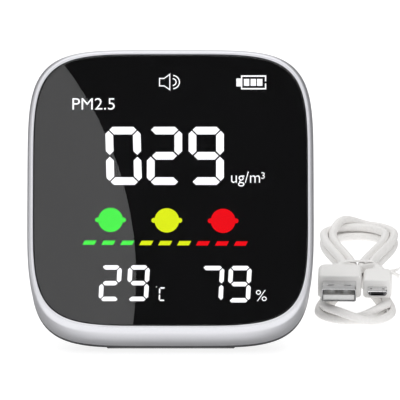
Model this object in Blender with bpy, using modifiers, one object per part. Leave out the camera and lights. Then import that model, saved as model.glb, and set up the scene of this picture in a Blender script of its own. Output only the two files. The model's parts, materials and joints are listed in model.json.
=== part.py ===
"""Desktop air quality monitor with a fold-out leg, and its charging cord.

Run with: blender --background --python part.py

Metres, +Z up, origin on the table under the middle of the monitor, face towards -Y.
The monitor is modelled upright in a frame of its own: x to the right, y backwards from
the glass and z up the face. One empty leans that frame back onto its base strip and leg.
The cord lies in a second frame on the table: x across the hank, y along it, z up.
"""

import math

import bmesh
import bpy
from mathutils import Matrix, Vector

MM = 0.001
GAP = 0.3 * MM  # clearance between neighbouring pieces

# ---------------------------------------------------------------- driving dimensions
LEAN = math.radians(25)
LENS_WIDTH, LENS_HEIGHT, LENS_THICKNESS = 93.2 * MM, 94.1 * MM, 1.5 * MM
SQUARENESS = 5.0  # exponent of the superellipse that every outline follows
OUTLINE_POINTS = 64
WALL = 2.0 * MM
GIRTH = 2.3 * MM  # how far the case stands out past the lens on every side
RIM_DEPTH = 3.6 * MM  # depth over which the rim turns from the front to the sides
SPLIT_DEPTH = 29.0 * MM  # parting line between the silver housing and the dark cover
ROUND_START = 31.8 * MM  # where the cover starts to round over
CASE_DEPTH = 39.0 * MM
BACK_INSET = 5.5 * MM  # edge of the flat back, measured in from the lens outline
LEDGE_FRONT, LEDGE_BACK, LEDGE_INSET = 2.4 * MM, 4.4 * MM, 3.0 * MM

POST_PLACE, POST_RADIUS = 38.2 * MM, 3.0 * MM
SCREW_SEAT = 33.0 * MM
CASE_SHANK, CASE_HEAD = 1.1 * MM, 2.2 * MM

DISPLAY_WIDTH, DISPLAY_HEIGHT, DISPLAY_CHAMFER = 76.0 * MM, 78.0 * MM, 9.0 * MM
MASK_FRONT, MASK_BACK = 1.8 * MM, 2.6 * MM
DIFFUSER_BACK = 4.1 * MM
REFLECTOR_BACK = 8.4 * MM
BOARD_THICKNESS = 1.2 * MM
DISPLAY_BOARD_FRONT = REFLECTOR_BACK + GAP
MAIN_BOARD_FRONT = 13.5 * MM
MAIN_BOARD_BACK = MAIN_BOARD_FRONT + BOARD_THICKNESS
MAIN_WIDTH, MAIN_HEIGHT, MAIN_CHAMFER = 91.0 * MM, 78.0 * MM, 15.0 * MM
PARTS_FRONT = MAIN_BOARD_BACK + GAP  # where parts on the main board start
BOSS_X, BOSS_Z, BOSS_RADIUS = 42.8 * MM, 20.0 * MM, 2.6 * MM
BOARD_SHANK, BOARD_HEAD = 0.8 * MM, 1.7 * MM

USB_Z = -8.0 * MM
USB_WIDTH, USB_THICKNESS, USB_LENGTH = 7.5 * MM, 2.6 * MM, 5.5 * MM

SENSOR_SIZE, SENSOR_X, SENSOR_Z = 36.0 * MM, -18.5 * MM, 16.5 * MM
SENSOR_BACK = 27.8 * MM
FAN_X, FAN_Z, FAN_RADIUS, FAN_BLADES = -27.0 * MM, 24.0 * MM, 8.0 * MM, 9
FAN_FRONT, FAN_DEPTH = 20.5 * MM, 5.0 * MM
SHAFT_RADIUS = 0.6 * MM

BUTTON_PLACES = {"power": 21.0 * MM, "mode": 33.0 * MM}
BUTTON_Z, BUTTON_RADIUS, BUTTON_TRAVEL = 26.0 * MM, 3.5 * MM, 0.6 * MM
BUTTON_BOARD_FRONT = 29.6 * MM
SWITCH_TOP = 33.4 * MM

HINGE_Y, HINGE_Z = 37.1 * MM, 24.0 * MM
LEG_WIDTH, LEG_LENGTH, LEG_THICKNESS = 24.0 * MM, 64.0 * MM, 2.6 * MM
KNUCKLE_RADIUS, PIN_RADIUS = 1.9 * MM, 0.8 * MM
POCKET_FLOOR = 35.0 * MM
PAD_THICKNESS = 2.0 * MM
STRIP_LENGTH, STRIP_WIDTH, STRIP_HEIGHT = 44.0 * MM, 3.2 * MM, 1.1 * MM
STRIP_DROP = 0.25 * MM  # how far the base strip stands out below the case

CORD_RADIUS = 1.5 * MM
CORD_PLACE = (66.3 * MM, 87.0 * MM)
CORD_TURN = math.radians(-2)
HANK_RUN = 50.0 * MM  # half of a straight run, from the tie to where a lobe starts
LOBE_HALF, WAIST_HALF = 14.4 * MM, 6.5 * MM
HANK_HEIGHT = 6.2 * MM
TIE_THICKNESS, TIE_WIDTH = 0.8 * MM, 2.4 * MM
USB_A_X, MICRO_X = -5.6 * MM, 7.7 * MM
PLUG_FLOOR = HANK_HEIGHT + GAP  # the plugs lie on the hank
COLLAR_Y = -24.0 * MM  # where both plugs' strain reliefs end

BUILD = bpy.data.collections.new("air_quality_monitor")
CUTTERS = bpy.data.collections.new("cutters")


# ---------------------------------------------------------------- materials
def material(name, colour, roughness, metallic=0.0):
    made = bpy.data.materials.new(name)
    made.use_nodes = True
    shader = made.node_tree.nodes["Principled BSDF"]
    shader.inputs["Base Color"].default_value = (*colour, 1.0)
    shader.inputs["Roughness"].default_value = roughness
    shader.inputs["Metallic"].default_value = metallic
    return made


SILVER = material("silver_paint", (0.72, 0.72, 0.75), 0.32, 0.6)
DARK = material("dark_plastic", (0.045, 0.046, 0.050), 0.5)
GLASS = material("smoked_lens", (0.012, 0.012, 0.014), 0.05)
BLACK = material("black_plastic", (0.015, 0.015, 0.016), 0.55)
DIFFUSER = material("diffuser", (0.75, 0.75, 0.73), 0.6)
WHITE = material("white_plastic", (0.82, 0.82, 0.80), 0.45)
BOARD = material("circuit_board", (0.02, 0.16, 0.07), 0.45)
CHIP = material("chip", (0.03, 0.03, 0.032), 0.4)
TIN = material("tinned_steel", (0.62, 0.60, 0.57), 0.3, 1.0)
STEEL = material("screw_steel", (0.50, 0.50, 0.52), 0.35, 1.0)
FOIL = material("battery_foil", (0.60, 0.61, 0.64), 0.35, 0.8)
RUBBER = material("rubber", (0.03, 0.03, 0.03), 0.85)
FOAM = material("foam", (0.06, 0.06, 0.065), 0.95)
IVORY = material("ivory_plastic", (0.80, 0.77, 0.68), 0.5)
WIRE = material("red_wire", (0.55, 0.03, 0.02), 0.5)
CORD = material("white_cord", (0.88, 0.87, 0.86), 0.5)


# ---------------------------------------------------------------- modelling helpers
def clear_scene():
    for obj in list(bpy.data.objects):
        bpy.data.objects.remove(obj)
    bpy.context.scene.collection.children.link(BUILD)
    bpy.context.scene.collection.children.link(CUTTERS)


def frame(name, location=(0, 0, 0), rotation=(0, 0, 0), parent=None):
    empty = bpy.data.objects.new(name, None)
    empty.location, empty.rotation_euler, empty.parent = location, rotation, parent
    BUILD.objects.link(empty)
    return empty


def add(name, bm, parent, finish, centre=(0, 0, 0), rotation=(0, 0, 0)):
    """Makes a sub-part from a bmesh, smooth except at its corners."""
    mesh = bpy.data.meshes.new(name)
    bmesh.ops.recalc_face_normals(bm, faces=bm.faces)
    bm.to_mesh(mesh)
    bm.free()
    mesh.shade_smooth()
    mesh.set_sharp_from_angle(angle=math.radians(35))
    mesh.materials.append(finish)
    obj = bpy.data.objects.new(name, mesh)
    obj.location, obj.rotation_euler, obj.parent = centre, rotation, parent
    BUILD.objects.link(obj)
    return obj


def box(name, size, centre, parent, finish, rotation=(0, 0, 0)):
    bm = bmesh.new()
    bmesh.ops.create_cube(bm, size=1.0)
    bmesh.ops.scale(bm, vec=size, verts=bm.verts)
    return add(name, bm, parent, finish, centre, rotation)


def cylinder(name, radius, length, centre, parent, finish, along="Y", segments=24):
    bm = bmesh.new()
    turn = {"X": Matrix.Rotation(math.pi / 2, 4, "Y"), "Y": Matrix.Rotation(math.pi / 2, 4, "X")}
    bmesh.ops.create_cone(
        bm, cap_ends=True, segments=segments, radius1=radius, radius2=radius, depth=length,
        matrix=turn.get(along, Matrix()),
    )
    return add(name, bm, parent, finish, centre)


def prism(name, outlines, front, back, parent, finish, axis="Y"):
    """Extrudes 2D outlines, the later ones being holes. Along Y they lie in x and z."""
    curve = bpy.data.curves.new(name, "CURVE")
    curve.dimensions, curve.fill_mode = "2D", "BOTH"
    curve.extrude = (back - front) / 2
    for points in outlines:
        spline = curve.splines.new("POLY")
        spline.points.add(len(points) - 1)
        for point, (u, v) in zip(spline.points, points):
            point.co = (u, v, 0, 1)
        spline.use_cyclic_u = True
    flat = bpy.data.objects.new(name + "_outline", curve)
    bpy.context.scene.collection.objects.link(flat)
    bm = solid_from(flat)
    turn = {"Y": Matrix.Rotation(math.pi / 2, 4, "X"), "Z": Matrix()}[axis]
    middle = (front + back) / 2
    shift = Vector((0, middle, 0)) if axis == "Y" else Vector((0, 0, middle))
    bm.transform(Matrix.Translation(shift) @ turn)
    return add(name, bm, parent, finish)


def solid_from(curve_object):
    """Turns a curve object into a closed bmesh with its caps welded on."""
    bpy.context.view_layer.update()
    graph = bpy.context.evaluated_depsgraph_get()
    mesh = bpy.data.meshes.new_from_object(curve_object.evaluated_get(graph))
    bm = bmesh.new()
    bm.from_mesh(mesh)
    bmesh.ops.remove_doubles(bm, verts=bm.verts, dist=0.00001)
    bpy.data.meshes.remove(mesh)
    bpy.data.objects.remove(curve_object)
    return bm


def tube(name, points, radius, parent, finish, closed=False, width=None):
    """A wire or cord along a smooth path; width flattens a band's bevel into a strip."""
    curve = bpy.data.curves.new(name, "CURVE")
    curve.dimensions, curve.use_fill_caps = "3D", not closed
    curve.bevel_depth, curve.bevel_resolution = radius, 2
    spline = curve.splines.new("POLY")
    spline.points.add(len(points) - 1)
    for point, place in zip(spline.points, points):
        point.co = (*place, 1)
    spline.use_cyclic_u = closed
    path = bpy.data.objects.new(name + "_path", curve)
    bpy.context.scene.collection.objects.link(path)
    bm = solid_from(path)
    if width:
        bmesh.ops.scale(bm, vec=(1, width / (2 * radius), 1), verts=bm.verts)
    return add(name, bm, parent, finish)


def combine(obj, other, operation="DIFFERENCE"):
    """Cuts another object out of this one, or joins it on, and puts it with the cutters."""
    step = obj.modifiers.new(other.name, "BOOLEAN")
    step.operation, step.solver, step.object = operation, "EXACT", other
    BUILD.objects.unlink(other)
    CUTTERS.objects.link(other)
    other.hide_render, other.display_type = True, "WIRE"


def soften(obj, width, segments=2):
    bevel = obj.modifiers.new("Edges", "BEVEL")
    bevel.width, bevel.segments, bevel.limit_method = width, segments, "ANGLE"
    bevel.angle_limit = math.radians(40)


# ---------------------------------------------------------------- outlines
def superellipse(offset=0.0):
    """The lens outline, moved out by an offset, as points in x and z."""
    points = []
    for step in range(OUTLINE_POINTS):
        angle = 2 * math.pi * (step + 0.5) / OUTLINE_POINTS
        across = math.cos(angle) / (LENS_WIDTH / 2 + offset)
        up = math.sin(angle) / (LENS_HEIGHT / 2 + offset)
        reach = (abs(across) ** SQUARENESS + abs(up) ** SQUARENESS) ** (-1 / SQUARENESS)
        points.append((reach * math.cos(angle), reach * math.sin(angle)))
    return points


def chamfered(width, height, chamfer):
    w, h, c = width / 2, height / 2, chamfer
    return [(w, c - h), (w, h - c), (w - c, h), (c - w, h),
            (-w, h - c), (-w, c - h), (c - w, -h), (w - c, -h)]


def circle(radius, centre=(0, 0), segments=24):
    turn = 2 * math.pi / segments
    return [(centre[0] + radius * math.cos(turn * step), centre[1] + radius * math.sin(turn * step))
            for step in range(segments)]


def loft(name, section, parent, finish, ring=False):
    """Carries a section of (offset, depth) points round the outline of the lens.

    A ring joins its last point to its first; otherwise the two ends are closed flat.
    """
    bm = bmesh.new()
    loops = [[bm.verts.new((x, depth, z)) for x, z in superellipse(offset)]
             for offset, depth in section]
    pairs = list(zip(loops, loops[1:]))
    if ring:
        pairs.append((loops[-1], loops[0]))
    else:
        bm.faces.new(loops[0])
        bm.faces.new(loops[-1])
    for first, second in pairs:
        for here in range(OUTLINE_POINTS):
            after = (here + 1) % OUTLINE_POINTS
            bm.faces.new((first[here], first[after], second[after], second[here]))
    return add(name, bm, parent, finish)


def quarter_round(start, end, steps, bulge_first):
    """Points of a quarter ellipse between two (offset, depth) points."""
    points = []
    for step in range(steps + 1):
        angle = math.pi / 2 * step / steps
        early, late = math.sin(angle), 1 - math.cos(angle)
        across, along = (early, late) if bulge_first else (late, early)
        points.append((start[0] + (end[0] - start[0]) * across, start[1] + (end[1] - start[1]) * along))
    return points


# ---------------------------------------------------------------- resting place
def cover_outside():
    """The cover's outer section, from the parting line to the edge of the flat back."""
    side = GIRTH - 0.2 * MM
    rounding = quarter_round((side, ROUND_START), (-BACK_INSET, CASE_DEPTH), 6, False)
    return [(side, SPLIT_DEPTH + GAP), *rounding]


def floor_drop():
    """How far the table is below the middle of the lens, with the monitor leaning."""
    lowest = max((LENS_HEIGHT / 2 + offset) * math.cos(LEAN) + depth * math.sin(LEAN)
                 for offset, depth in cover_outside())
    return lowest + STRIP_DROP


def lowest_depth():
    """Depth of the point of the cover that comes nearest to the table."""
    section = max(cover_outside(), key=lambda point:
                  (LENS_HEIGHT / 2 + point[0]) * math.cos(LEAN) + point[1] * math.sin(LEAN))
    return section[1]


def floor_point(depth, height=0.0):
    """The place (y, z) in the leaning frame at a depth and a height above the table."""
    across = height * -math.sin(LEAN)
    up = (depth * math.sin(LEAN) - floor_drop()) / math.cos(LEAN) + height * math.cos(LEAN)
    return depth + across, up


def hinge_height():
    return floor_drop() + HINGE_Z * math.cos(LEAN) - HINGE_Y * math.sin(LEAN)


def leg_splay():
    """Angle from upright at which the opened leg reaches the table with its pad."""
    reach, half = LEG_LENGTH + PAD_THICKNESS, LEG_THICKNESS / 2
    return math.atan2(half, reach) + math.acos(hinge_height() / math.hypot(reach, half))


# ---------------------------------------------------------------- case
def front_housing(parent):
    """Silver frame: rounded rim, ledge for the lens, screw posts and a slot for the plug."""
    outer = GIRTH + 0.05 * MM
    section = [(GAP, 0.3 * MM), (0.5 * MM, 0.0)]
    section += quarter_round((0.8 * MM, 0.0), (outer, RIM_DEPTH), 6, True)
    section += [(outer, 14 * MM), (GIRTH - 0.2 * MM, SPLIT_DEPTH), (GIRTH - 0.2 * MM - WALL, SPLIT_DEPTH)]
    section += [(GAP, 14 * MM), (GAP, LEDGE_BACK), (-LEDGE_INSET, LEDGE_BACK)]
    section += [(-LEDGE_INSET, LEDGE_FRONT), (GAP, LEDGE_FRONT)]
    housing = loft("front_housing", section, parent, SILVER, ring=True)
    start = (LEDGE_FRONT + LEDGE_BACK) / 2
    for number, (x, z) in enumerate(corners(POST_PLACE, POST_PLACE), 1):
        end = SPLIT_DEPTH - 0.2 * MM
        post = cylinder(f"post_{number}", POST_RADIUS, end - start, (x, (start + end) / 2, z), parent, SILVER)
        combine(housing, post, "UNION")
    for number, (x, z) in enumerate(corners(BOSS_X, BOSS_Z), 1):
        end = MAIN_BOARD_FRONT - GAP
        boss = cylinder(f"boss_{number}", BOSS_RADIUS, end - start, (x, (start + end) / 2, z), parent, SILVER)
        combine(housing, boss, "UNION")
    for number, (x, z) in enumerate(corners(POST_PLACE, POST_PLACE), 1):
        hole = cylinder(f"post_hole_{number}", CASE_SHANK + GAP, 12 * MM, (x, SPLIT_DEPTH - 4 * MM, z),
                        parent, SILVER, segments=16)
        combine(housing, hole)
    for number, (x, z) in enumerate(corners(BOSS_X, BOSS_Z), 1):
        hole = cylinder(f"boss_hole_{number}", BOARD_SHANK + GAP, 10 * MM, (x, MAIN_BOARD_FRONT, z),
                        parent, SILVER, segments=12)
        combine(housing, hole)
    size = (12 * MM, USB_THICKNESS + 1.0 * MM, USB_WIDTH + 1.0 * MM)
    slot = box("plug_slot", size, (LENS_WIDTH / 2 + 4 * MM, PARTS_FRONT + USB_THICKNESS / 2, USB_Z), parent,
               SILVER)
    combine(housing, slot)


def corners(x, z):
    return [(-x, -z), (x, -z), (x, z), (-x, z)]


def rear_cover(parent):
    """Dark back: screw bosses, pocket for the leg, button holes and vents."""
    outside = cover_outside()
    inside = [(GIRTH - 0.2 * MM - WALL, SPLIT_DEPTH + GAP)]
    inside += quarter_round((GIRTH - 0.2 * MM - WALL, ROUND_START), (-BACK_INSET, CASE_DEPTH - WALL), 4,
                            False)
    cover = loft("rear_cover", outside[::-1] + inside, parent, DARK)
    pocket_top = HINGE_Z + KNUCKLE_RADIUS + 0.5 * MM
    pocket_low = HINGE_Z - LEG_LENGTH - PAD_THICKNESS - 1.2 * MM
    pocket_middle = (pocket_low + pocket_top) / 2
    bulge_front, bulge_back = POCKET_FLOOR - 1.8 * MM, CASE_DEPTH - WALL / 2
    bulge = box("pocket_wall", (LEG_WIDTH + 4.8 * MM, bulge_back - bulge_front,
                                pocket_top - pocket_low + 2.4 * MM),
                (0, (bulge_front + bulge_back) / 2, pocket_middle), parent, DARK)
    combine(cover, bulge, "UNION")
    for number, (x, z) in enumerate(corners(POST_PLACE, POST_PLACE), 1):
        start, end = SPLIT_DEPTH + GAP, SCREW_SEAT + 2.5 * MM
        boss = cylinder(f"cover_boss_{number}", POST_RADIUS, end - start, (x, (start + end) / 2, z), parent,
                        DARK)
        combine(cover, boss, "UNION")
    for number, (x, z) in enumerate(corners(POST_PLACE, POST_PLACE), 1):
        well = cylinder(f"screw_well_{number}", CASE_HEAD + GAP, 10 * MM, (x, SCREW_SEAT + 5 * MM, z),
                        parent, DARK)
        combine(cover, well)
        hole = cylinder(f"screw_hole_{number}", CASE_SHANK + GAP, 12 * MM, (x, SCREW_SEAT - 2 * MM, z),
                        parent, DARK, segments=16)
        combine(cover, hole)
    pocket = box("pocket", (LEG_WIDTH + 0.8 * MM, 10 * MM, pocket_top - pocket_low),
                 (0, POCKET_FLOOR + 5 * MM, pocket_middle), parent, DARK)
    combine(cover, pocket)
    for side in (-1, 1):
        scoop = cylinder(f"finger_scoop_{side + 2}", 5 * MM, 6 * MM,
                         (side * LEG_WIDTH / 2, CASE_DEPTH + 2 * MM, pocket_low + 9 * MM), parent, DARK)
        combine(cover, scoop)
    pin_hole = cylinder("pin_hole", PIN_RADIUS + GAP, LEG_WIDTH + 3.6 * MM, (0, HINGE_Y, HINGE_Z),
                        parent, DARK, along="X", segments=16)
    combine(cover, pin_hole)
    for name, x in BUTTON_PLACES.items():
        hole = cylinder(f"{name}_hole", BUTTON_RADIUS + GAP, 8 * MM, (x, CASE_DEPTH, BUTTON_Z), parent, DARK)
        combine(cover, hole)
    for number in range(5):
        z = FAN_Z + (number - 2) * 3.6 * MM
        slot = box(f"vent_slot_{number + 1}", (15 * MM, 8 * MM, 1.6 * MM), (FAN_X, CASE_DEPTH, z), parent,
                   DARK)
        combine(cover, slot)
    groove = box("strip_groove", (STRIP_LENGTH + 2 * GAP, STRIP_WIDTH + 2 * GAP, STRIP_HEIGHT + GAP),
                 (0, *floor_point(lowest_depth(), (STRIP_HEIGHT + GAP) / 2)), parent, DARK, (LEAN, 0, 0))
    combine(cover, groove)


def lens(parent):
    edge = 0.25 * MM
    section = [(-edge, 0.0), (0.0, edge), (0.0, LENS_THICKNESS)]
    loft("front_lens", section, parent, GLASS)
    ring = [(-2.8 * MM, 1.65 * MM), (-0.4 * MM, 1.65 * MM), (-0.4 * MM, 2.25 * MM), (-2.8 * MM, 2.25 * MM)]
    loft("lens_gasket", ring, parent, FOAM, ring=True)


def screw(name, x, seat, z, shank, head, length, parent):
    """Pan-head screw along the depth, its head towards the back."""
    rise = head * 0.8
    profile = [(0, seat + rise), (head * 0.8, seat + rise), (head, seat + rise * 0.6), (head, seat),
               (shank, seat), (shank, seat - length), (0, seat - length - shank * 0.6)]
    bm = bmesh.new()
    turns = 16
    tip_back, *middle, tip_front = profile
    loops = [[bm.verts.new((r * math.cos(a), y, r * math.sin(a)))
              for a in (2 * math.pi * step / turns for step in range(turns))] for r, y in middle]
    ends = bm.verts.new((0, tip_back[1], 0)), bm.verts.new((0, tip_front[1], 0))
    for step in range(turns):
        after = (step + 1) % turns
        bm.faces.new((ends[0], loops[0][step], loops[0][after]))
        bm.faces.new((ends[1], loops[-1][step], loops[-1][after]))
        for first, second in zip(loops, loops[1:]):
            bm.faces.new((first[step], first[after], second[after], second[step]))
    return add(name, bm, parent, STEEL, (x, 0, z))


def hex_socket(made, x, seat, z, head, parent):
    """Sinks a six-sided driver socket into the top of a screw head."""
    socket = cylinder(f"{made.name}_socket", head * 0.5, head, (x, seat + head * 0.8, z), parent, STEEL,
                      segments=6)
    combine(made, socket)


def fasteners(parent):
    for number, (x, z) in enumerate(corners(POST_PLACE, POST_PLACE), 1):
        seat = SCREW_SEAT + 0.1 * MM
        made = screw(f"case_screw_{number}", x, seat, z, CASE_SHANK, CASE_HEAD, 9 * MM, parent)
        hex_socket(made, x, seat, z, CASE_HEAD, parent)
    for number, (x, z) in enumerate(corners(BOSS_X, BOSS_Z), 1):
        screw(f"board_screw_{number}", x, MAIN_BOARD_BACK + 0.1 * MM, z, BOARD_SHANK, BOARD_HEAD, 5 * MM,
              parent)


# ---------------------------------------------------------------- display
LARGE_LEAN, SMALL_LEAN = math.tan(math.radians(0.8)), math.tan(math.radians(3))
SEGMENTS = {  # middle (across, up) in half digits and whether the bar lies flat
    "a": (0, 1, True), "b": (1, 0.5, False), "c": (1, -0.5, False), "d": (0, -1, True),
    "e": (-1, -0.5, False), "f": (-1, 0.5, False), "g": (0, 0, True),
}


def segment_outline(name, width, height, stroke, lean):
    """One hexagonal bar of a seven-segment digit, around the digit's middle."""
    across, up, flat = SEGMENTS[name]
    cx, cz = across * (width - stroke) / 2, up * (height - stroke) / 2
    half, reach = stroke / 2, ((width if flat else height / 2 + stroke / 2) - stroke) / 2 - 0.06 * stroke
    bar = [(-reach, 0), (half - reach, -half), (reach - half, -half), (reach, 0), (reach - half, half),
           (half - reach, half)]
    if not flat:
        bar = [(v, u) for u, v in bar]
    return [(cx + u + (cz + v) * lean, cz + v) for u, v in bar]


def digit_windows(centre, width, height, stroke, lean):
    return [[(centre[0] + u, centre[1] + v) for u, v in segment_outline(name, width, height, stroke, lean)]
            for name in SEGMENTS]


def display_windows():
    """Openings of the mask: digits, three indicator discs and a row of nine dashes."""
    windows = []
    for x in (-16.1 * MM, -2.1 * MM, 12.1 * MM):
        windows += digit_windows((x, 11.8 * MM), 12.3 * MM, 20.6 * MM, 2.9 * MM, LARGE_LEAN)
    for x in (-20.5 * MM, -10.8 * MM, 14.6 * MM, 23.6 * MM):
        windows += digit_windows((x, -32.7 * MM), 7.9 * MM, 13.0 * MM, 1.7 * MM, SMALL_LEAN)
    for x in (-20.4 * MM, -1.3 * MM, 17.9 * MM):
        windows.append(circle(4.2 * MM, (x, -10.7 * MM), 20))
    for number in range(9):
        x, half, rise, slant = -27.6 * MM + number * 6.45 * MM, 2.2 * MM, 0.9 * MM, 0.4 * MM
        z = -18.6 * MM
        windows.append([(x - half - slant, z - rise), (x + half - slant, z - rise),
                        (x + half + slant, z + rise), (x - half + slant, z + rise)])
    return windows


def display(parent):
    outline = superellipse(-LEDGE_INSET - 0.4 * MM)
    prism("display_mask", [outline, *display_windows()], MASK_FRONT, MASK_BACK, parent, BLACK)
    plate = chamfered(DISPLAY_WIDTH, DISPLAY_HEIGHT, DISPLAY_CHAMFER)
    prism("light_diffuser", [plate], MASK_BACK + GAP, DIFFUSER_BACK, parent, DIFFUSER)
    rim = 3 * MM
    inner = chamfered(DISPLAY_WIDTH - 2 * rim, DISPLAY_HEIGHT - 2 * rim, DISPLAY_CHAMFER - rim / 2)
    prism("light_frame", [plate, inner], DIFFUSER_BACK + GAP, REFLECTOR_BACK, parent, WHITE)
    prism("display_board", [plate], DISPLAY_BOARD_FRONT, DISPLAY_BOARD_FRONT + BOARD_THICKNESS, parent, BOARD)
    start, end = DISPLAY_BOARD_FRONT + BOARD_THICKNESS + GAP, MAIN_BOARD_FRONT - GAP
    for name, x in (("display_driver", -14 * MM), ("memory_chip", 12 * MM)):
        box(name, (9 * MM, 1.2 * MM, 9 * MM), (x, start + 0.6 * MM, 10 * MM), parent, CHIP)
    box("board_header", (22 * MM, end - start, 2.6 * MM), (0, (start + end) / 2, -30 * MM), parent, IVORY)


# ---------------------------------------------------------------- main board and battery
def on_board(name, size, place, parent, finish):
    """A block standing on the back of the main board; size is across, up and tall."""
    across, up, tall = size
    return box(name, (across, tall, up), (place[0], PARTS_FRONT + tall / 2, place[1]), parent, finish)


def main_board(parent):
    outline = chamfered(MAIN_WIDTH, MAIN_HEIGHT, MAIN_CHAMFER)
    holes = [circle(BOARD_SHANK + GAP, place, 12) for place in corners(BOSS_X, BOSS_Z)]
    prism("main_board", [outline, *holes], MAIN_BOARD_FRONT, MAIN_BOARD_BACK, parent, BOARD)
    on_board("mcu_chip", (10 * MM, 10 * MM, 1.2 * MM), (-20 * MM, -12 * MM), parent, CHIP)
    on_board("charger_chip", (5 * MM, 5 * MM, 1.0 * MM), (-34 * MM, -10 * MM), parent, CHIP)
    on_board("climate_sensor", (3 * MM, 3 * MM, 1.1 * MM), (-30 * MM, -28 * MM), parent, TIN)
    on_board("battery_connector", (8 * MM, 5 * MM, 4.2 * MM), (6 * MM, -33 * MM), parent, IVORY)
    cylinder("buzzer", 4.5 * MM, 3.6 * MM, (-12 * MM, PARTS_FRONT + 1.8 * MM, -27 * MM), parent, BLACK)
    usb_socket(parent)


def usb_socket(parent):
    """Charging socket, a tin shell open towards the right-hand wall."""
    end = LENS_WIDTH / 2 - 0.4 * MM
    y = PARTS_FRONT + USB_THICKNESS / 2
    socket = box("usb_socket", (USB_LENGTH, USB_THICKNESS, USB_WIDTH), (end - USB_LENGTH / 2, y, USB_Z),
                 parent, TIN)
    wall = 0.3 * MM
    hollow = box("usb_mouth", (USB_LENGTH, USB_THICKNESS - 2 * wall, USB_WIDTH - 2 * wall),
                 (end - USB_LENGTH / 2 + 0.8 * MM, y, USB_Z), parent, TIN)
    combine(socket, hollow)


def battery(parent):
    x, z, width, height = 19 * MM, -2 * MM, 30 * MM, 48 * MM
    pad, cell = 0.8 * MM, 5.5 * MM
    on_board("battery_pad", (width - 4 * MM, height - 4 * MM, pad), (x, z), parent, FOAM)
    front = PARTS_FRONT + pad + GAP
    pouch = box("battery_cell", (width, cell, height), (x, front + cell / 2, z), parent, FOIL)
    soften(pouch, 1.2 * MM)
    y, low = front + cell / 2, z - height / 2
    route = [(x - 3 * MM, y, low - GAP), (x - 3 * MM, y, low - 3 * MM),
             (x - 4.5 * MM, y - 0.5 * MM, low - 5.5 * MM),
             (x - 7 * MM, y - 1.2 * MM, low - 6.8 * MM), (x - 8.6 * MM, y - 1.6 * MM, low - 7 * MM)]
    tube("battery_lead", route, 0.8 * MM, parent, WIRE)


# ---------------------------------------------------------------- dust sensor
def dust_sensor(parent):
    wall, tall = 1.2 * MM, SENSOR_BACK - PARTS_FRONT
    y = (PARTS_FRONT + SENSOR_BACK) / 2
    case = box("sensor_case", (SENSOR_SIZE, tall, SENSOR_SIZE), (SENSOR_X, y, SENSOR_Z), parent, TIN)
    inner = SENSOR_SIZE - 2 * wall
    hollow = box("sensor_hollow", (inner, tall, inner), (SENSOR_X, y + wall, SENSOR_Z), parent, TIN)
    combine(case, hollow)
    half, inlet = SENSOR_SIZE / 2, 3 * MM
    plate = [(SENSOR_X + u * half, SENSOR_Z + v * half) for u, v in ((-1, -1), (1, -1), (1, 1), (-1, 1))]
    mouth = circle(FAN_RADIUS + 0.6 * MM, (FAN_X, FAN_Z))
    intake = circle(inlet, (SENSOR_X + half - 7 * MM, SENSOR_Z + half - 7 * MM), 16)
    prism("sensor_lid", [plate, mouth, intake], SENSOR_BACK + GAP, SENSOR_BACK + GAP + wall, parent, TIN)
    duct_front, duct_back = SENSOR_BACK + wall + 2 * GAP, CASE_DEPTH - WALL - GAP
    ring = [circle(FAN_RADIUS + 3.2 * MM, (FAN_X, FAN_Z), 32),
            circle(FAN_RADIUS + 0.8 * MM, (FAN_X, FAN_Z), 32)]
    prism("outlet_duct", ring, duct_front, duct_back, parent, FOAM)
    floor = PARTS_FRONT + wall + GAP
    cylinder("laser_module", 2.5 * MM, 10 * MM, (SENSOR_X + 10 * MM, floor + 2.6 * MM, SENSOR_Z - 10 * MM),
             parent, STEEL, along="X")
    box("light_detector", (6 * MM, 2 * MM, 6 * MM), (SENSOR_X - 3 * MM, floor + 1 * MM, SENSOR_Z - 10 * MM),
        parent, CHIP)
    motor = cylinder("fan_motor", 4 * MM, 3.2 * MM, (FAN_X, floor + 1.6 * MM, FAN_Z), parent, BLACK)
    end = FAN_FRONT + FAN_DEPTH - 1 * MM
    shaft = cylinder("fan_shaft", SHAFT_RADIUS, end - floor - 1 * MM,
                     (FAN_X, (floor + 1 * MM + end) / 2, FAN_Z),
                     parent, STEEL, segments=12)
    combine(motor, shaft, "UNION")
    fan_wheel(parent)


def fan_wheel(parent):
    """Bladed wheel, its origin on its axis."""
    pivot = frame("fan_axis", (FAN_X, FAN_FRONT, FAN_Z), parent=parent)
    outline, hub = [], 2.8 * MM
    pitch = 2 * math.pi / FAN_BLADES
    sweep = math.radians(16)
    for blade in range(FAN_BLADES):
        for radius, share in ((hub, -0.22), (FAN_RADIUS, -0.16), (FAN_RADIUS, 0.16), (hub, 0.22)):
            angle = pitch * (blade + share) + (sweep if radius > hub else 0)
            outline.append((radius * math.cos(angle), radius * math.sin(angle)))
    prism("fan_wheel", [outline, circle(SHAFT_RADIUS + GAP, segments=12)], 0, FAN_DEPTH, pivot, BLACK)


# ---------------------------------------------------------------- buttons
def buttons(parent):
    middle = sum(BUTTON_PLACES.values()) / 2
    box("button_board", (28 * MM, BOARD_THICKNESS, 11 * MM),
        (middle, BUTTON_BOARD_FRONT + BOARD_THICKNESS / 2, BUTTON_Z), parent, BOARD)
    start = BUTTON_BOARD_FRONT + BOARD_THICKNESS + GAP
    for name, x in BUTTON_PLACES.items():
        shell = 1.5 * MM
        switch = box(f"{name}_switch", (6 * MM, shell, 6 * MM), (x, start + shell / 2, BUTTON_Z), parent, TIN)
        nub = cylinder(f"{name}_nub", 1.6 * MM, SWITCH_TOP - start - 0.5 * MM,
                       (x, (SWITCH_TOP + start + 0.5 * MM) / 2, BUTTON_Z), parent, BLACK, segments=16)
        combine(switch, nub, "UNION")
        push_button(name, x, parent)


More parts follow.
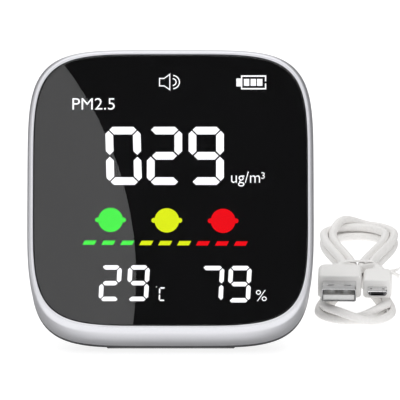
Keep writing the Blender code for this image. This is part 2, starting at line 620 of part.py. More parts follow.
def push_button(name, x, parent):
    """Cap through the cover, with a flange behind it that stops it falling out."""
    flange_back = CASE_DEPTH - WALL - GAP
    flange, top = 1.0 * MM, CASE_DEPTH + 0.9 * MM
    foot = SWITCH_TOP + BUTTON_TRAVEL + 0.1 * MM
    place = frame(f"{name}_axis", (x, top, BUTTON_Z), parent=parent)
    back = cylinder(f"{name}_button", BUTTON_RADIUS, top - flange_back + flange / 2,
                    (0, (flange_back - flange / 2 - top) / 2, 0), place, SILVER, segments=32)
    base = cylinder(f"{name}_flange", BUTTON_RADIUS + 1.0 * MM, flange,
                    (0, flange_back - flange / 2 - top, 0),
                    place, SILVER, segments=32)
    stem = cylinder(f"{name}_stem", 1.4 * MM, flange_back - foot, (0, (flange_back + foot) / 2 - top, 0),
                    place, SILVER, segments=16)
    combine(back, base, "UNION")
    combine(back, stem, "UNION")


# ---------------------------------------------------------------- fold-out leg
def leg(parent):
    """Leg plate on a pin, swung out until its pad meets the table."""
    splay = leg_splay()
    pivot = frame("leg_axis", (0, HINGE_Y, HINGE_Z), (LEAN + splay - math.pi / 2, 0, 0), parent)
    half, corner = LEG_WIDTH / 2, 2 * MM
    outline = [(-half, 0.0), (half, 0.0)]
    for centre, first in ((half - corner, 0.0), (corner - half, math.pi / 2)):
        for step in range(4):
            angle = first + math.pi / 2 * step / 3
            outline.append((centre + corner * math.cos(angle),
                            LEG_LENGTH - corner + corner * math.sin(angle)))
    plate = prism("fold_leg", [outline], -LEG_THICKNESS / 2, LEG_THICKNESS / 2, pivot, DARK, axis="Z")
    knuckle = cylinder("leg_knuckle", KNUCKLE_RADIUS, LEG_WIDTH, (0, 0, 0), pivot, DARK, along="X")
    combine(plate, knuckle, "UNION")
    bore = cylinder("leg_bore", PIN_RADIUS + 0.2 * MM, LEG_WIDTH + 4 * MM, (0, 0, 0), pivot, DARK,
                    along="X", segments=16)
    combine(plate, bore)
    relief = box("leg_relief", (LEG_WIDTH - 8 * MM, LEG_LENGTH - 16 * MM, LEG_THICKNESS),
                 (0, LEG_LENGTH / 2, -LEG_THICKNESS * 0.9), pivot, DARK)
    combine(plate, relief)
    cylinder("leg_pin", PIN_RADIUS, LEG_WIDTH + 3.0 * MM, (0, HINGE_Y, HINGE_Z), parent, STEEL,
             along="X", segments=16)
    leg_pad(pivot, splay)


def leg_pad(pivot, splay):
    """Rubber tip of the leg, its sole level when the leg is open."""
    half, top = LEG_WIDTH / 2 - 2 * MM, LEG_LENGTH + 0.05 * MM
    bm = bmesh.new()
    ends = []
    for x in (-half, half):
        end = [(top, LEG_THICKNESS / 2), (top, -LEG_THICKNESS / 2)]
        for z in (-LEG_THICKNESS / 2, LEG_THICKNESS / 2):
            end.append(((hinge_height() + z * math.sin(splay)) / math.cos(splay), z))
        ends.append([bm.verts.new((x, y, z)) for y, z in end])
    for end in ends:
        bm.faces.new(end)
    for here in range(4):
        after = (here + 1) % 4
        bm.faces.new((ends[0][here], ends[0][after], ends[1][after], ends[1][here]))
    add("leg_pad", bm, pivot, RUBBER)


def base_strip(parent):
    box("base_strip", (STRIP_LENGTH, STRIP_WIDTH, STRIP_HEIGHT),
        (0, *floor_point(lowest_depth(), STRIP_HEIGHT / 2)), parent, RUBBER, (LEAN, 0, 0))


# ---------------------------------------------------------------- charging cord
def hank_half_width(y, waist, lobe):
    """Half the width of the tied hank at a distance along it from the tie."""
    share = min(abs(y) / HANK_RUN, 1.0)
    return waist + (lobe - waist) * share * share * (3 - 2 * share)


def hank(parent):
    side = [(hank_half_width(y, WAIST_HALF, LOBE_HALF), y)
            for y in (HANK_RUN * step / 8 for step in range(-8, 8))]
    outline = side[:]
    for step in range(12):
        angle = math.pi * step / 12
        outline.append((LOBE_HALF * math.cos(angle), HANK_RUN + LOBE_HALF * math.sin(angle)))
    outline += [(-x, -y) for x, y in outline]
    coil = prism("cord_hank", [outline], 0.0, HANK_HEIGHT, parent, CORD, axis="Z")
    under = box("tie_groove", (4 * WAIST_HALF, TIE_WIDTH + 2 * GAP, 2 * (TIE_THICKNESS + 2 * GAP)), (0, 0, 0),
                parent, CORD)
    combine(coil, under)


def cord_tie(parent):
    """Band round the waist of the hank."""
    centre = TIE_THICKNESS / 2 + 0.05 * MM
    half, top = WAIST_HALF + centre + GAP, HANK_HEIGHT + centre + GAP
    bend = 1.2 * MM
    route = []
    for x, z, first in ((half, top, 0), (-half, top, 1), (-half, centre, 2), (half, centre, 3)):
        cx, cz = x - math.copysign(bend, x), z - (bend if z > centre else -bend)
        for step in range(4):
            angle = math.pi / 2 * (first + step / 3)
            route.append((cx + bend * math.cos(angle), 0, cz + bend * math.sin(angle)))
    tube("cord_tie", route, TIE_THICKNESS / 2, parent, CORD, closed=True, width=TIE_WIDTH)


def turned_block(name, size, centre, parent, finish, edge):
    block = box(name, size, centre, parent, finish)
    soften(block, edge)
    return block


def plugs(parent):
    """The two plugs at the cord's ends, lying side by side with their shells towards -y."""
    grip, collar = 19 * MM, 8 * MM
    shell_out = 12 * MM
    for name, x, width, tall in (("usb_a", USB_A_X, 15.2 * MM, 8 * MM),
                                 ("micro", MICRO_X, 10 * MM, 6.6 * MM)):
        y, z = COLLAR_Y - collar - grip / 2, PLUG_FLOOR + tall / 2
        body = turned_block(f"{name}_plug_body", (width, grip, tall), (x, y, z), parent, CORD, 1.2 * MM)
        relief = cylinder(f"{name}_relief", 2.6 * MM, collar + 2 * MM,
                          (x, COLLAR_Y - collar / 2 - 1 * MM, z), parent, CORD, segments=20)
        combine(body, relief, "UNION")
    front = COLLAR_Y - collar - grip - GAP
    z = PLUG_FLOOR + 4 * MM
    shell = box("usb_a_shell", (12 * MM, shell_out, 4.5 * MM), (USB_A_X, front - shell_out / 2, z), parent, TIN)
    mouth = box("usb_a_mouth", (11.2 * MM, shell_out, 1.8 * MM),
                (USB_A_X, front - shell_out / 2 - 2 * MM, z + 0.9 * MM), parent, TIN)
    combine(shell, mouth)
    for side in (-1, 1):
        hole = box(f"usb_a_catch_{side + 2}", (2.4 * MM, 2.2 * MM, 2 * MM),
                   (USB_A_X + side * 2.9 * MM, front - 6.4 * MM, z + 2.2 * MM), parent, TIN)
        combine(shell, hole)
    tip_out, z = 6.5 * MM, PLUG_FLOOR + 3.3 * MM
    tip = box("micro_plug_tip", (6.85 * MM, tip_out, 1.8 * MM), (MICRO_X, front - tip_out / 2, z), parent, TIN)
    opening = box("micro_mouth", (6.0 * MM, tip_out, 0.7 * MM),
                  (MICRO_X, front - tip_out / 2 - 1.5 * MM, z + 0.2 * MM), parent, TIN)
    combine(tip, opening)


def smooth_path(points, spacing):
    """Points along a smooth curve through a few hand-set ones, about evenly spaced."""
    places = [Vector(point) for point in points]
    dense = []
    padded = [2 * places[0] - places[1], *places, 2 * places[-1] - places[-2]]
    for a, b, c, d in zip(padded, padded[1:], padded[2:], padded[3:]):
        for step in range(12):
            t = step / 12
            dense.append(0.5 * (2 * b + (c - a) * t + (2 * a - 5 * b + 4 * c - d) * t * t
                                + (3 * b - a - 3 * c + d) * t * t * t))
    dense.append(places[-1])
    kept = [dense[0]]
    for place in dense[1:-1]:
        if (place - kept[-1]).length > spacing:
            kept.append(place)
    kept.append(dense[-1])
    return kept


def cord_ends(parent):
    """Short tubes from the plugs' strain reliefs down onto the hank, beside its tie."""
    start, end = COLLAR_Y + GAP, -TIE_WIDTH / 2 - 2 * MM
    low = HANK_HEIGHT + CORD_RADIUS + GAP
    for name, x, z, side in (("usb_a", USB_A_X, PLUG_FLOOR + 4.0 * MM, -1),
                             ("micro", MICRO_X, PLUG_FLOOR + 3.3 * MM, 1)):
        route = [(x, start, z), (x, start + 3 * MM, z), ((x + side * 1.7 * MM) / 2, (start + end) / 2, (z + low) / 2),
                 (side * 1.7 * MM, end - 3 * MM, low), (side * 1.7 * MM, end, low)]
        tube(f"{name}_cord_end", smooth_path(route, 2 * CORD_RADIUS), CORD_RADIUS, parent, CORD)


# ---------------------------------------------------------------- assembly
def settle(monitor):
    """Moves the leaning monitor so that its box stands centred on the origin."""
    bpy.context.view_layer.update()
    graph = bpy.context.evaluated_depsgraph_get()
    corners_seen = []
    for obj in BUILD.objects:
        if obj.type == "MESH":
            mesh = obj.evaluated_get(graph).to_mesh()
            corners_seen += [obj.matrix_world @ vertex.co for vertex in mesh.vertices]
    front, back = min(p.y for p in corners_seen), max(p.y for p in corners_seen)
    monitor.location.y -= (front + back) / 2


def main():
    clear_scene()
    monitor = frame("monitor", (0, 0, floor_drop()), (-LEAN, 0, 0))
    front_housing(monitor)
    rear_cover(monitor)
    lens(monitor)
    fasteners(monitor)
    display(monitor)
    main_board(monitor)
    battery(monitor)
    dust_sensor(monitor)
    buttons(monitor)
    leg(monitor)
    base_strip(monitor)
    settle(monitor)
    cord = frame("cord", (*CORD_PLACE, 0), (0, 0, CORD_TURN))
    hank(cord)
    cord_tie(cord)
    plugs(cord)
    cord_ends(cord)


main()
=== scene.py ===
"""The looks of a desktop air quality monitor and its charging cord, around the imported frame.

Metres, +Z up. The face looks towards -Y and leans back. Positions come from the frame's nodes.
"""

import json
import math

import bmesh
import bpy
import numpy as np
from mathutils import Matrix, Vector


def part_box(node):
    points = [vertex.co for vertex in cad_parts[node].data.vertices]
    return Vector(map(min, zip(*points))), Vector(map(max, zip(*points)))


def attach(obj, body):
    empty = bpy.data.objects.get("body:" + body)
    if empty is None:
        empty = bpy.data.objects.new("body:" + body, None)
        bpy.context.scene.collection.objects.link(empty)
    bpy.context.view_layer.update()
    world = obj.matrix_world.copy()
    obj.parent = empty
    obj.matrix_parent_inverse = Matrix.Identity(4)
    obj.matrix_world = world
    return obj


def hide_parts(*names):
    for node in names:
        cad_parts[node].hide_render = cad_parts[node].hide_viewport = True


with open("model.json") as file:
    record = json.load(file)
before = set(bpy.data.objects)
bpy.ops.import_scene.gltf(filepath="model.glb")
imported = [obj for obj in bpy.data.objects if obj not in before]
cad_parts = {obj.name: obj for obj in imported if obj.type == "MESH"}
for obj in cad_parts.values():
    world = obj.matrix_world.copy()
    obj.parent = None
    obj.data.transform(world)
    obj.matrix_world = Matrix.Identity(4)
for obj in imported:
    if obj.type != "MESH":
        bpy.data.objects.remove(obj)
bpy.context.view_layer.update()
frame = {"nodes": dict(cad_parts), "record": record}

MM = 0.001
LEAN = math.radians(25)
CAMERA_RISE = math.radians(13.5)
CAMERA_DISTANCE = 2.4
VIEW_WIDTH = 136.5 * MM  # what the camera takes in at the glass
AIM_RIGHT, AIM_DOWN = 10.07 * MM, 3.62 * MM  # the camera's target from the middle of the glass

# ---------------- the case's own frame
LENS_LOW, LENS_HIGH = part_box("front_lens")
LENS_THICKNESS = 1.5 * MM
LENS_WIDTH = LENS_HIGH[0] - LENS_LOW[0]
LENS_HEIGHT = (LENS_HIGH[2] - LENS_LOW[2] - LENS_THICKNESS * math.sin(LEAN)) / math.cos(LEAN)
BACKWARD = Vector((0, math.cos(LEAN), -math.sin(LEAN)))
LENS_MIDDLE = (Vector(LENS_LOW) + Vector(LENS_HIGH)) / 2
FACE = LENS_MIDDLE - BACKWARD * LENS_THICKNESS / 2
CASE = Matrix.Translation(FACE) @ Matrix.Rotation(-LEAN, 4, "X")
SQUARENESS = 5.0
GIRTH, WALL = 2.3 * MM, 2.0 * MM  # width of the rim round the glass, and the shells' thickness
RIM_DEPTH, SPLIT_DEPTH = 3.6 * MM, 29.0 * MM


# ---------------- materials
def shader_of(name):
    made = bpy.data.materials.new(name)
    made.use_nodes = True
    return made, made.node_tree, made.node_tree.nodes["Principled BSDF"]


def put(shader, **values):
    """Sets sockets by name, with _ for a space."""
    for socket, value in values.items():
        shader.inputs[socket.replace("_", " ")].default_value = value


def map_range(tree, source, start=(0.0, 1.0), end=(0.0, 1.0)):
    """Maps one span of values to another; gives the mapped output."""
    made = tree.nodes.new("ShaderNodeMapRange")
    made.inputs["From Min"].default_value, made.inputs["From Max"].default_value = start
    made.inputs["To Min"].default_value, made.inputs["To Max"].default_value = end
    tree.links.new(source, made.inputs["Value"])
    return made.outputs["Result"]


def noise(tree, scale, detail=3.0):
    place = tree.nodes.new("ShaderNodeTexCoord")
    made = tree.nodes.new("ShaderNodeTexNoise")
    made.inputs["Scale"].default_value = scale
    made.inputs["Detail"].default_value = detail
    made.inputs["Roughness"].default_value = 0.55
    tree.links.new(place.outputs["Object"], made.inputs["Vector"])
    return made.outputs["Fac"]


def tint(tree, shader, source, dark, light):
    """Colours a surface between two shades by a texture."""
    ramp = tree.nodes.new("ShaderNodeValToRGB")
    first, last = ramp.color_ramp.elements
    first.position, last.position = 0.35, 0.65
    first.color, last.color = (*dark, 1), (*light, 1)
    tree.links.new(source, ramp.inputs["Fac"])
    tree.links.new(ramp.outputs["Color"], shader.inputs["Base Color"])


def vary(tree, shader, source, low, high, socket="Roughness"):
    """Lets a texture move one value of a surface between two ends."""
    tree.links.new(map_range(tree, source, end=(low, high)), shader.inputs[socket])


def emboss(tree, shader, source, strength, distance):
    bump = tree.nodes.new("ShaderNodeBump")
    bump.inputs["Strength"].default_value, bump.inputs["Distance"].default_value = strength, distance
    tree.links.new(source, bump.inputs["Height"])
    tree.links.new(bump.outputs["Normal"], shader.inputs["Normal"])


def silver_paint():
    made, tree, shader = shader_of("pearl_silver")
    put(shader, Metallic=0.7, Coat_Weight=0.25, Coat_Roughness=0.15, IOR=1.5)
    flakes = noise(tree, 6000, 2)
    tint(tree, shader, flakes, (0.67, 0.67, 0.705), (0.77, 0.77, 0.805))
    vary(tree, shader, noise(tree, 900, 2), 0.34, 0.44)
    emboss(tree, shader, noise(tree, 2500, 2), 0.05, 0.00002)
    return made


def moulded(name, dark, light, roughness, grain=3000, depth=30, strength=0.25, specular=0.5):
    """A moulded plastic with a fine spark-eroded grain, its depth in thousandths of a millimetre."""
    made, tree, shader = shader_of(name)
    put(shader, IOR=1.48, Specular_IOR_Level=specular)
    texture = noise(tree, grain, 3)
    tint(tree, shader, texture, dark, light)
    vary(tree, shader, noise(tree, grain / 6), roughness - 0.06, roughness + 0.06)
    emboss(tree, shader, texture, strength, depth * MM / 1000)
    return made


def smoked_glass():
    made, tree, shader = shader_of("smoked_lens")
    put(shader, Roughness=0.0, IOR=1.5, Transmission_Weight=1.0)
    tint(tree, shader, noise(tree, 300, 2), (0.925, 0.925, 0.945), (0.935, 0.935, 0.955))
    return made


def metal(name, dark, light, roughness, grain=1500):
    made, tree, shader = shader_of(name)
    put(shader, Metallic=1.0)
    texture = noise(tree, grain, 4)
    tint(tree, shader, texture, dark, light)
    vary(tree, shader, noise(tree, grain / 4), roughness - 0.05, roughness + 0.07)
    emboss(tree, shader, texture, 0.08, 0.00001)
    return made


def glowing(name, colour, strength):
    """A lit part of the display. It shines, and hardly shows the light that falls on it."""
    made, tree, shader = shader_of(name)
    put(shader, Roughness=0.7, Specular_IOR_Level=0.0, Emission_Color=(*colour, 1))
    vary(tree, shader, noise(tree, 350, 2), 0.96 * strength, 1.04 * strength, "Emission Strength")
    dark, light = ([share * value for value in colour] for share in (0.04, 0.06))
    tint(tree, shader, noise(tree, 1500), dark, light)
    return made


def circuit_board():
    made, tree, shader = shader_of("circuit_board")
    put(shader, Coat_Weight=0.4, Coat_Roughness=0.2)
    tint(tree, shader, noise(tree, 700, 2), (0.012, 0.11, 0.05), (0.02, 0.17, 0.08))
    vary(tree, shader, noise(tree, 400, 2), 0.35, 0.5)
    return made


BLACK = moulded("mask_black", (0.0066, 0.0066, 0.0071), (0.0082, 0.0082, 0.0088), 0.7, specular=0.0)
SLOTS = {
    "silver_paint": silver_paint(),
    "smoked_lens": smoked_glass(),
    "circuit_board": circuit_board(),
    "dark_plastic": moulded("dark_plastic", (0.042, 0.043, 0.047), (0.062, 0.063, 0.068), 0.52),
    "black_plastic": moulded("black_plastic", (0.012, 0.012, 0.013), (0.02, 0.02, 0.021), 0.55),
    "rubber": moulded("rubber", (0.02, 0.02, 0.02), (0.034, 0.034, 0.035), 0.82, 4000, 40, 0.35),
    "foam": moulded("foam", (0.04, 0.04, 0.043), (0.09, 0.09, 0.095), 0.92, 1800, 100, 0.6),
    "diffuser": moulded("diffuser", (0.68, 0.68, 0.66), (0.78, 0.78, 0.76), 0.5, 900, 10, 0.1),
    "white_plastic": moulded("white_plastic", (0.78, 0.78, 0.77), (0.84, 0.84, 0.83), 0.42, 1500, 10, 0.1),
    "ivory_plastic": moulded("ivory_plastic", (0.74, 0.70, 0.60), (0.82, 0.79, 0.70), 0.5, 1200, 20, 0.15),
    "chip": moulded("chip", (0.022, 0.022, 0.024), (0.038, 0.038, 0.04), 0.5, 2500, 20, 0.2),
    "red_wire": moulded("red_wire", (0.48, 0.02, 0.015), (0.6, 0.035, 0.025), 0.45, 900, 10, 0.1),
    "white_cord": moulded("cord_jacket", (0.86, 0.845, 0.83), (0.905, 0.89, 0.875), 0.42, 1600, 20, 0.12),
    "white_plug": moulded("plug_overmould", (0.88, 0.87, 0.855), (0.915, 0.905, 0.89), 0.45, 2600, 20, 0.2),
    "tinned_steel": metal("tinned_steel", (0.50, 0.49, 0.46), (0.66, 0.64, 0.61), 0.35),
    "plug_steel": metal("bright_nickel", (0.66, 0.66, 0.67), (0.80, 0.80, 0.80), 0.2),
    "screw_steel": metal("zinc_plate", (0.42, 0.42, 0.45), (0.56, 0.56, 0.58), 0.35),
    "battery_foil": metal("battery_foil", (0.55, 0.56, 0.59), (0.66, 0.67, 0.70), 0.35, 600),
    "lit_white": glowing("lit_white", (1.0, 1.0, 1.0), 1.3),
    "lit_green": glowing("lit_green", (0.015, 0.95, 0.02), 1.0),
    "lit_yellow": glowing("lit_yellow", (0.80, 0.93, 0.012), 1.05),
    "lit_red": glowing("lit_red", (0.94, 0.004, 0.01), 1.03),
}


def dress_nodes():
    """Gives every CAD node the material of its slot."""
    slots = {part["node"]: part["material_slot"] for part in frame["record"]["subparts"]}
    for name, node in frame["nodes"].items():
        node.data.materials.clear()
        node.data.materials.append(BLACK if name == "display_mask" else SLOTS[slots[name]])


# ---------------- making pieces
def added(name, data):
    """A new object of the scene."""
    obj = bpy.data.objects.new(name, data)
    bpy.context.scene.collection.objects.link(obj)
    return obj


def piece(name, mesh, slot, replaces=(), body="monitor", finish=None, matrix=None, sharp=35):
    """Adds a finished mesh to the scene and says what it rides on and stands for."""
    mesh.name = name
    if matrix is not None:
        mesh.transform(matrix)
    mesh.materials.clear()
    mesh.materials.append(finish or SLOTS[slot])
    mesh.shade_smooth()
    mesh.set_sharp_from_angle(angle=math.radians(sharp))
    obj = added(name, mesh)
    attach(obj, body)
    if replaces:
        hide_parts(*replaces)
    return obj


def mesh_from(bm):
    mesh = bpy.data.meshes.new("made")
    bmesh.ops.recalc_face_normals(bm, faces=bm.faces)
    bm.to_mesh(mesh)
    bm.free()
    return mesh


def applied(obj):
    """The mesh of an object with its modifiers applied; the object goes."""
    bpy.context.view_layer.update()
    graph = bpy.context.evaluated_depsgraph_get()
    mesh = bpy.data.meshes.new_from_object(obj.evaluated_get(graph))
    bpy.data.objects.remove(obj)
    return mesh


def combined(mesh, others, operation):
    """A mesh with other closed meshes cut out of it (DIFFERENCE) or joined to it (UNION)."""
    target = added("temporary", mesh)
    helpers = [added("temporary", other) for other in others]
    for number, helper in enumerate(helpers):
        step = target.modifiers.new(f"step_{number}", "BOOLEAN")
        step.operation, step.solver, step.object = operation, "EXACT", helper
    made = applied(target)
    for helper in helpers:
        bpy.data.objects.remove(helper)
    return made


def bevelled(mesh, width, segments=3, angle=30):
    """The mesh with its sharp edges rounded."""
    bm = bmesh.new()
    bm.from_mesh(mesh)
    bmesh.ops.remove_doubles(bm, verts=bm.verts, dist=0.002 * MM)
    bmesh.ops.dissolve_limit(bm, angle_limit=math.radians(1), verts=bm.verts, edges=bm.edges)
    obj = added("temporary", mesh_from(bm))
    step = obj.modifiers.new("edges", "BEVEL")
    step.width, step.segments, step.limit_method = width, segments, "ANGLE"
    step.angle_limit, step.use_clamp_overlap = math.radians(angle), True
    return applied(obj)


def box_mesh(size, centre):
    bm = bmesh.new()
    bmesh.ops.create_cube(bm, size=1.0)
    bmesh.ops.scale(bm, vec=size, verts=bm.verts)
    mesh = mesh_from(bm)
    mesh.transform(Matrix.Translation(centre))
    return mesh


def drum_mesh(radius, low, high, x, z, segments=48):
    """A cylinder along the depth of the case."""
    bm = bmesh.new()
    along = Matrix.Translation((x, (low + high) / 2, z)) @ Matrix.Rotation(math.pi / 2, 4, "X")
    bmesh.ops.create_cone(bm, cap_ends=True, segments=segments, radius1=radius, radius2=radius,
                          depth=high - low, matrix=along)
    return mesh_from(bm)


def bridge(bm, first, second):
    """Quads between two closed rows of vertices."""
    for here in range(len(first)):
        after = (here + 1) % len(first)
        bm.faces.new((first[here], first[after], second[after], second[here]))


def skin(bm, rows, ring=False):
    """A closed body over rows of points, capped at both ends, or joined end to end as a ring."""
    rows = [[bm.verts.new(place) for place in row] for row in rows]
    if ring:
        rows.append(rows[0])
    else:
        bm.faces.new(rows[0])
        bm.faces.new(rows[-1])
    for first, second in zip(rows, rows[1:]):
        bridge(bm, first, second)


def skinned(rows, ring=False):
    bm = bmesh.new()
    skin(bm, rows, ring)
    return mesh_from(bm)


def prism(loops, low, high):
    """Prisms along the depth, each from its own outline in x and z."""
    bm = bmesh.new()
    for loop in loops:
        skin(bm, [[(x, depth, z) for x, z in loop] for depth in (low, high)])
    return mesh_from(bm)


# ---------------- outlines in x and z
def in_mm(*places):
    """Places given in millimetres, in metres."""
    return [tuple(value * MM for value in place) for place in places]


def at(right, up):
    """A point in millimetres from the middle of the glass, in metres."""
    return right * MM, up * MM


def rectangle(left, low, right, high):
    return [(left, low), (right, low), (right, high), (left, high)]


def polar(centre, radius, angle):
    """A point round a centre, its angle in degrees from the right."""
    turn = math.radians(angle)
    return centre[0] + radius * math.cos(turn), centre[1] + radius * math.sin(turn)


def circle_loop(centre, radius, steps=64):
    return [polar(centre, radius, 360 * step / steps) for step in range(steps)]


def band_loop(centre, inner, outer, start, end):
    """An arc with thickness, its ends in degrees from the right."""
    angles = [start + (end - start) * step / 24 for step in range(25)]
    return [polar(centre, outer, a) for a in angles] + [polar(centre, inner, a) for a in reversed(angles)]


# ---------------- case shells
OUTLINE_POINTS = 256


def superellipse(offset):
    """The outline of the glass, grown by an offset."""
    points = []
    for step in range(OUTLINE_POINTS):
        angle = 2 * math.pi * (step + 0.5) / OUTLINE_POINTS
        across = math.cos(angle) / (LENS_WIDTH / 2 + offset)
        up = math.sin(angle) / (LENS_HEIGHT / 2 + offset)
        reach = (abs(across) ** SQUARENESS + abs(up) ** SQUARENESS) ** (-1 / SQUARENESS)
        points.append((reach * math.cos(angle), reach * math.sin(angle)))
    return points


def loft(section, ring=False):
    """The glass's outline at each (offset, depth) of a section, skinned. A ring closes on itself."""
    return skinned([[(x, depth, z) for x, z in superellipse(offset)] for offset, depth in section], ring)


def quarter_round(start, end, steps, bulge_first):
    """A quarter ellipse of a section, which moves out first or in depth first."""
    points = []
    for step in range(steps + 1):
        angle = math.pi / 2 * step / steps
        early, late = math.sin(angle), 1 - math.cos(angle)
        across, along = (early, late) if bulge_first else (late, early)
        points.append((start[0] + (end[0] - start[0]) * across, start[1] + (end[1] - start[1]) * along))
    return points


def socket_middle():
    """The middle of the charging socket, in the case's own frame."""
    low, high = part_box("usb_socket")
    return CASE.inverted() @ ((Vector(low) + Vector(high)) / 2)


def front_shell():
    """Silver frame: a rounded rim round the glass, then walls that close in very slightly."""
    outer = GIRTH + 0.05 * MM
    section = in_mm((0.25, 0.5), (0.3, 0.15), (0.42, 0.03), (0.6, 0.0))
    section += quarter_round((0.8 * MM, 0.0), (outer, RIM_DEPTH), 14, True)
    section += [(outer, 8 * MM), (outer, 14 * MM), (GIRTH - 0.05 * MM, 21 * MM)]
    section += [(GIRTH - 0.18 * MM, 28.6 * MM), (GIRTH - 0.25 * MM, 28.85 * MM)]
    section += [(GIRTH - 0.4 * MM, SPLIT_DEPTH), (GIRTH - WALL - 0.2 * MM, SPLIT_DEPTH)]
    section += in_mm((0.3, 14), (0.3, 4.4), (-3.0, 4.4), (-3.0, 2.4), (0.25, 2.4))
    middle = socket_middle()
    mouth = box_mesh((12 * MM, 3.6 * MM, 8.5 * MM), (LENS_WIDTH / 2 + 4 * MM, middle.y, middle.z))
    mesh = combined(loft(section, ring=True), [bevelled(mouth, 0.9 * MM)], "DIFFERENCE")
    piece("front_shell", mesh, "silver_paint", ["front_housing"], matrix=CASE)


def lens_glass():
    """The glass with its fine edge, and the black seal round it."""
    edge = 0.1 * MM
    section = [(-edge, 0.0), (-edge * 0.3, edge * 0.3), (0.0, edge), (0.0, LENS_THICKNESS)]
    piece("lens_glass", loft(section), "smoked_lens", ["front_lens"], matrix=CASE, sharp=12)
    seal = in_mm((0.02, 0.1), (0.24, 0.1), (0.24, 2.3), (0.02, 2.3))
    piece("glass_seal", loft(seal, ring=True), "black_plastic", finish=BLACK, matrix=CASE)


COVER_DEPTH, ROUND_START, BACK_INSET = 39 * MM, 31.8 * MM, 5.5 * MM
HOLE_END, OPENING_END, SCOOP_END, WELL_END = 42 * MM, 43 * MM, 44 * MM, 45 * MM  # cutters, past the back
POST_PLACE, SCREW_SEAT = 38.2 * MM, 33 * MM
BOSS_RADIUS, WELL_RADIUS, SCREW_HOLE_RADIUS = 3 * MM, 2.5 * MM, 1.4 * MM
CORNERS = [(-1, -1), (1, -1), (1, 1), (-1, 1)]
BUTTON_X, BUTTON_Z, BUTTON_RADIUS = {"power": 21 * MM, "mode": 33 * MM}, 26 * MM, 3.5 * MM
VENT_X, VENT_Z, VENT_COUNT, VENT_PITCH = -27 * MM, 24 * MM, 5, 3.6 * MM
VENT_LENGTH, VENT_HEIGHT = 15 * MM, 1.6 * MM
LEG_WIDTH, LEG_GAP = 24 * MM, 0.4 * MM
POCKET_FLOOR, POCKET_LOW, POCKET_TOP, POCKET_WALL = 35 * MM, -43.2 * MM, 26.4 * MM, 2.4 * MM
SCOOP_RADIUS, SCOOP_RISE, SCOOP_FLOOR = 5 * MM, 9 * MM, 38 * MM


def vent_cutter(z):
    """A slot with round ends, lying across the case."""
    straight = (VENT_LENGTH - VENT_HEIGHT) / 2
    ring = []
    for side in (1, -1):
        for step in range(9):
            angle = math.pi * (step / 8 - 0.5)
            ring.append((VENT_X + side * (straight + VENT_HEIGHT / 2 * math.cos(angle)),
                         z + side * VENT_HEIGHT / 2 * math.sin(angle)))
    return prism([ring], POCKET_FLOOR, OPENING_END)


def screw_drums(radius, low, high, segments=48):
    """A drum at each of the four case screws."""
    return [drum_mesh(radius, low, high, x * POST_PLACE, z * POST_PLACE, segments) for x, z in CORNERS]


def rear_cutters():
    """Leg pocket, screw wells and holes, finger scoops, button holes and vents."""
    high, deep, middle = POCKET_TOP - POCKET_LOW, 10 * MM, (POCKET_LOW + POCKET_TOP) / 2
    cuts = [box_mesh((LEG_WIDTH + 2 * LEG_GAP, deep, high), (0, POCKET_FLOOR + deep / 2, middle))]
    wells = screw_drums(WELL_RADIUS, SCREW_SEAT, WELL_END)
    holes = screw_drums(SCREW_HOLE_RADIUS, SPLIT_DEPTH - 1 * MM, HOLE_END, 24)
    for well, hole in zip(wells, holes):
        cuts += [well, hole]
    for x in (-LEG_WIDTH / 2, LEG_WIDTH / 2):
        cuts.append(drum_mesh(SCOOP_RADIUS, SCOOP_FLOOR, SCOOP_END, x, POCKET_LOW + SCOOP_RISE))
    for x in BUTTON_X.values():
        cuts.append(drum_mesh(BUTTON_RADIUS + 0.3 * MM, POCKET_FLOOR, OPENING_END, x, BUTTON_Z))
    for number in range(VENT_COUNT):
        cuts.append(vent_cutter(VENT_Z + (number - (VENT_COUNT - 1) / 2) * VENT_PITCH))
    return cuts


def rear_shell():
    """Dark back, with a walled pocket and four screw bosses inside, every edge softened."""
    edge, seam = GIRTH - 0.2 * MM, SPLIT_DEPTH + 0.3 * MM
    inside = [(edge - WALL, seam)]
    inside += quarter_round((edge - WALL, ROUND_START), (-BACK_INSET, COVER_DEPTH - WALL), 8, False)
    outside = [(edge - 0.25 * MM, seam), (edge - 0.05 * MM, seam + 0.15 * MM)]
    outside += quarter_round((edge, ROUND_START), (-BACK_INSET, COVER_DEPTH), 16, False)
    bulge = box_mesh((LEG_WIDTH + 2 * POCKET_WALL, 2 * POCKET_WALL, POCKET_TOP - POCKET_LOW + POCKET_WALL),
                     (0, POCKET_FLOOR + 0.6 * MM, (POCKET_LOW + POCKET_TOP) / 2))
    bosses = screw_drums(BOSS_RADIUS, seam, SCREW_SEAT + 2.5 * MM)
    shell = combined(loft(inside[::-1] + outside), [bulge, *bosses], "UNION")
    shell = bevelled(combined(shell, rear_cutters(), "DIFFERENCE"), 0.25 * MM, 2, 38)
    piece("rear_shell", shell, "dark_plastic", ["rear_cover"], matrix=CASE)


# ---------------- display
MASK_DEPTH, MASK_THICKNESS, MASK_INSET = 1.8 * MM, 0.8 * MM, 3.4 * MM
LIT_FRONT, LIT_BACK = 1.58 * MM, 1.76 * MM
DISPLAY = CASE @ Matrix.Translation((0, 0, 0.25 * MM))  # the graphics sit this much above the glass's middle
LIT_SEGMENTS = {"0": "abcdef", "2": "abged", "9": "abcdfg", "7": "abc", "C": "adef"}

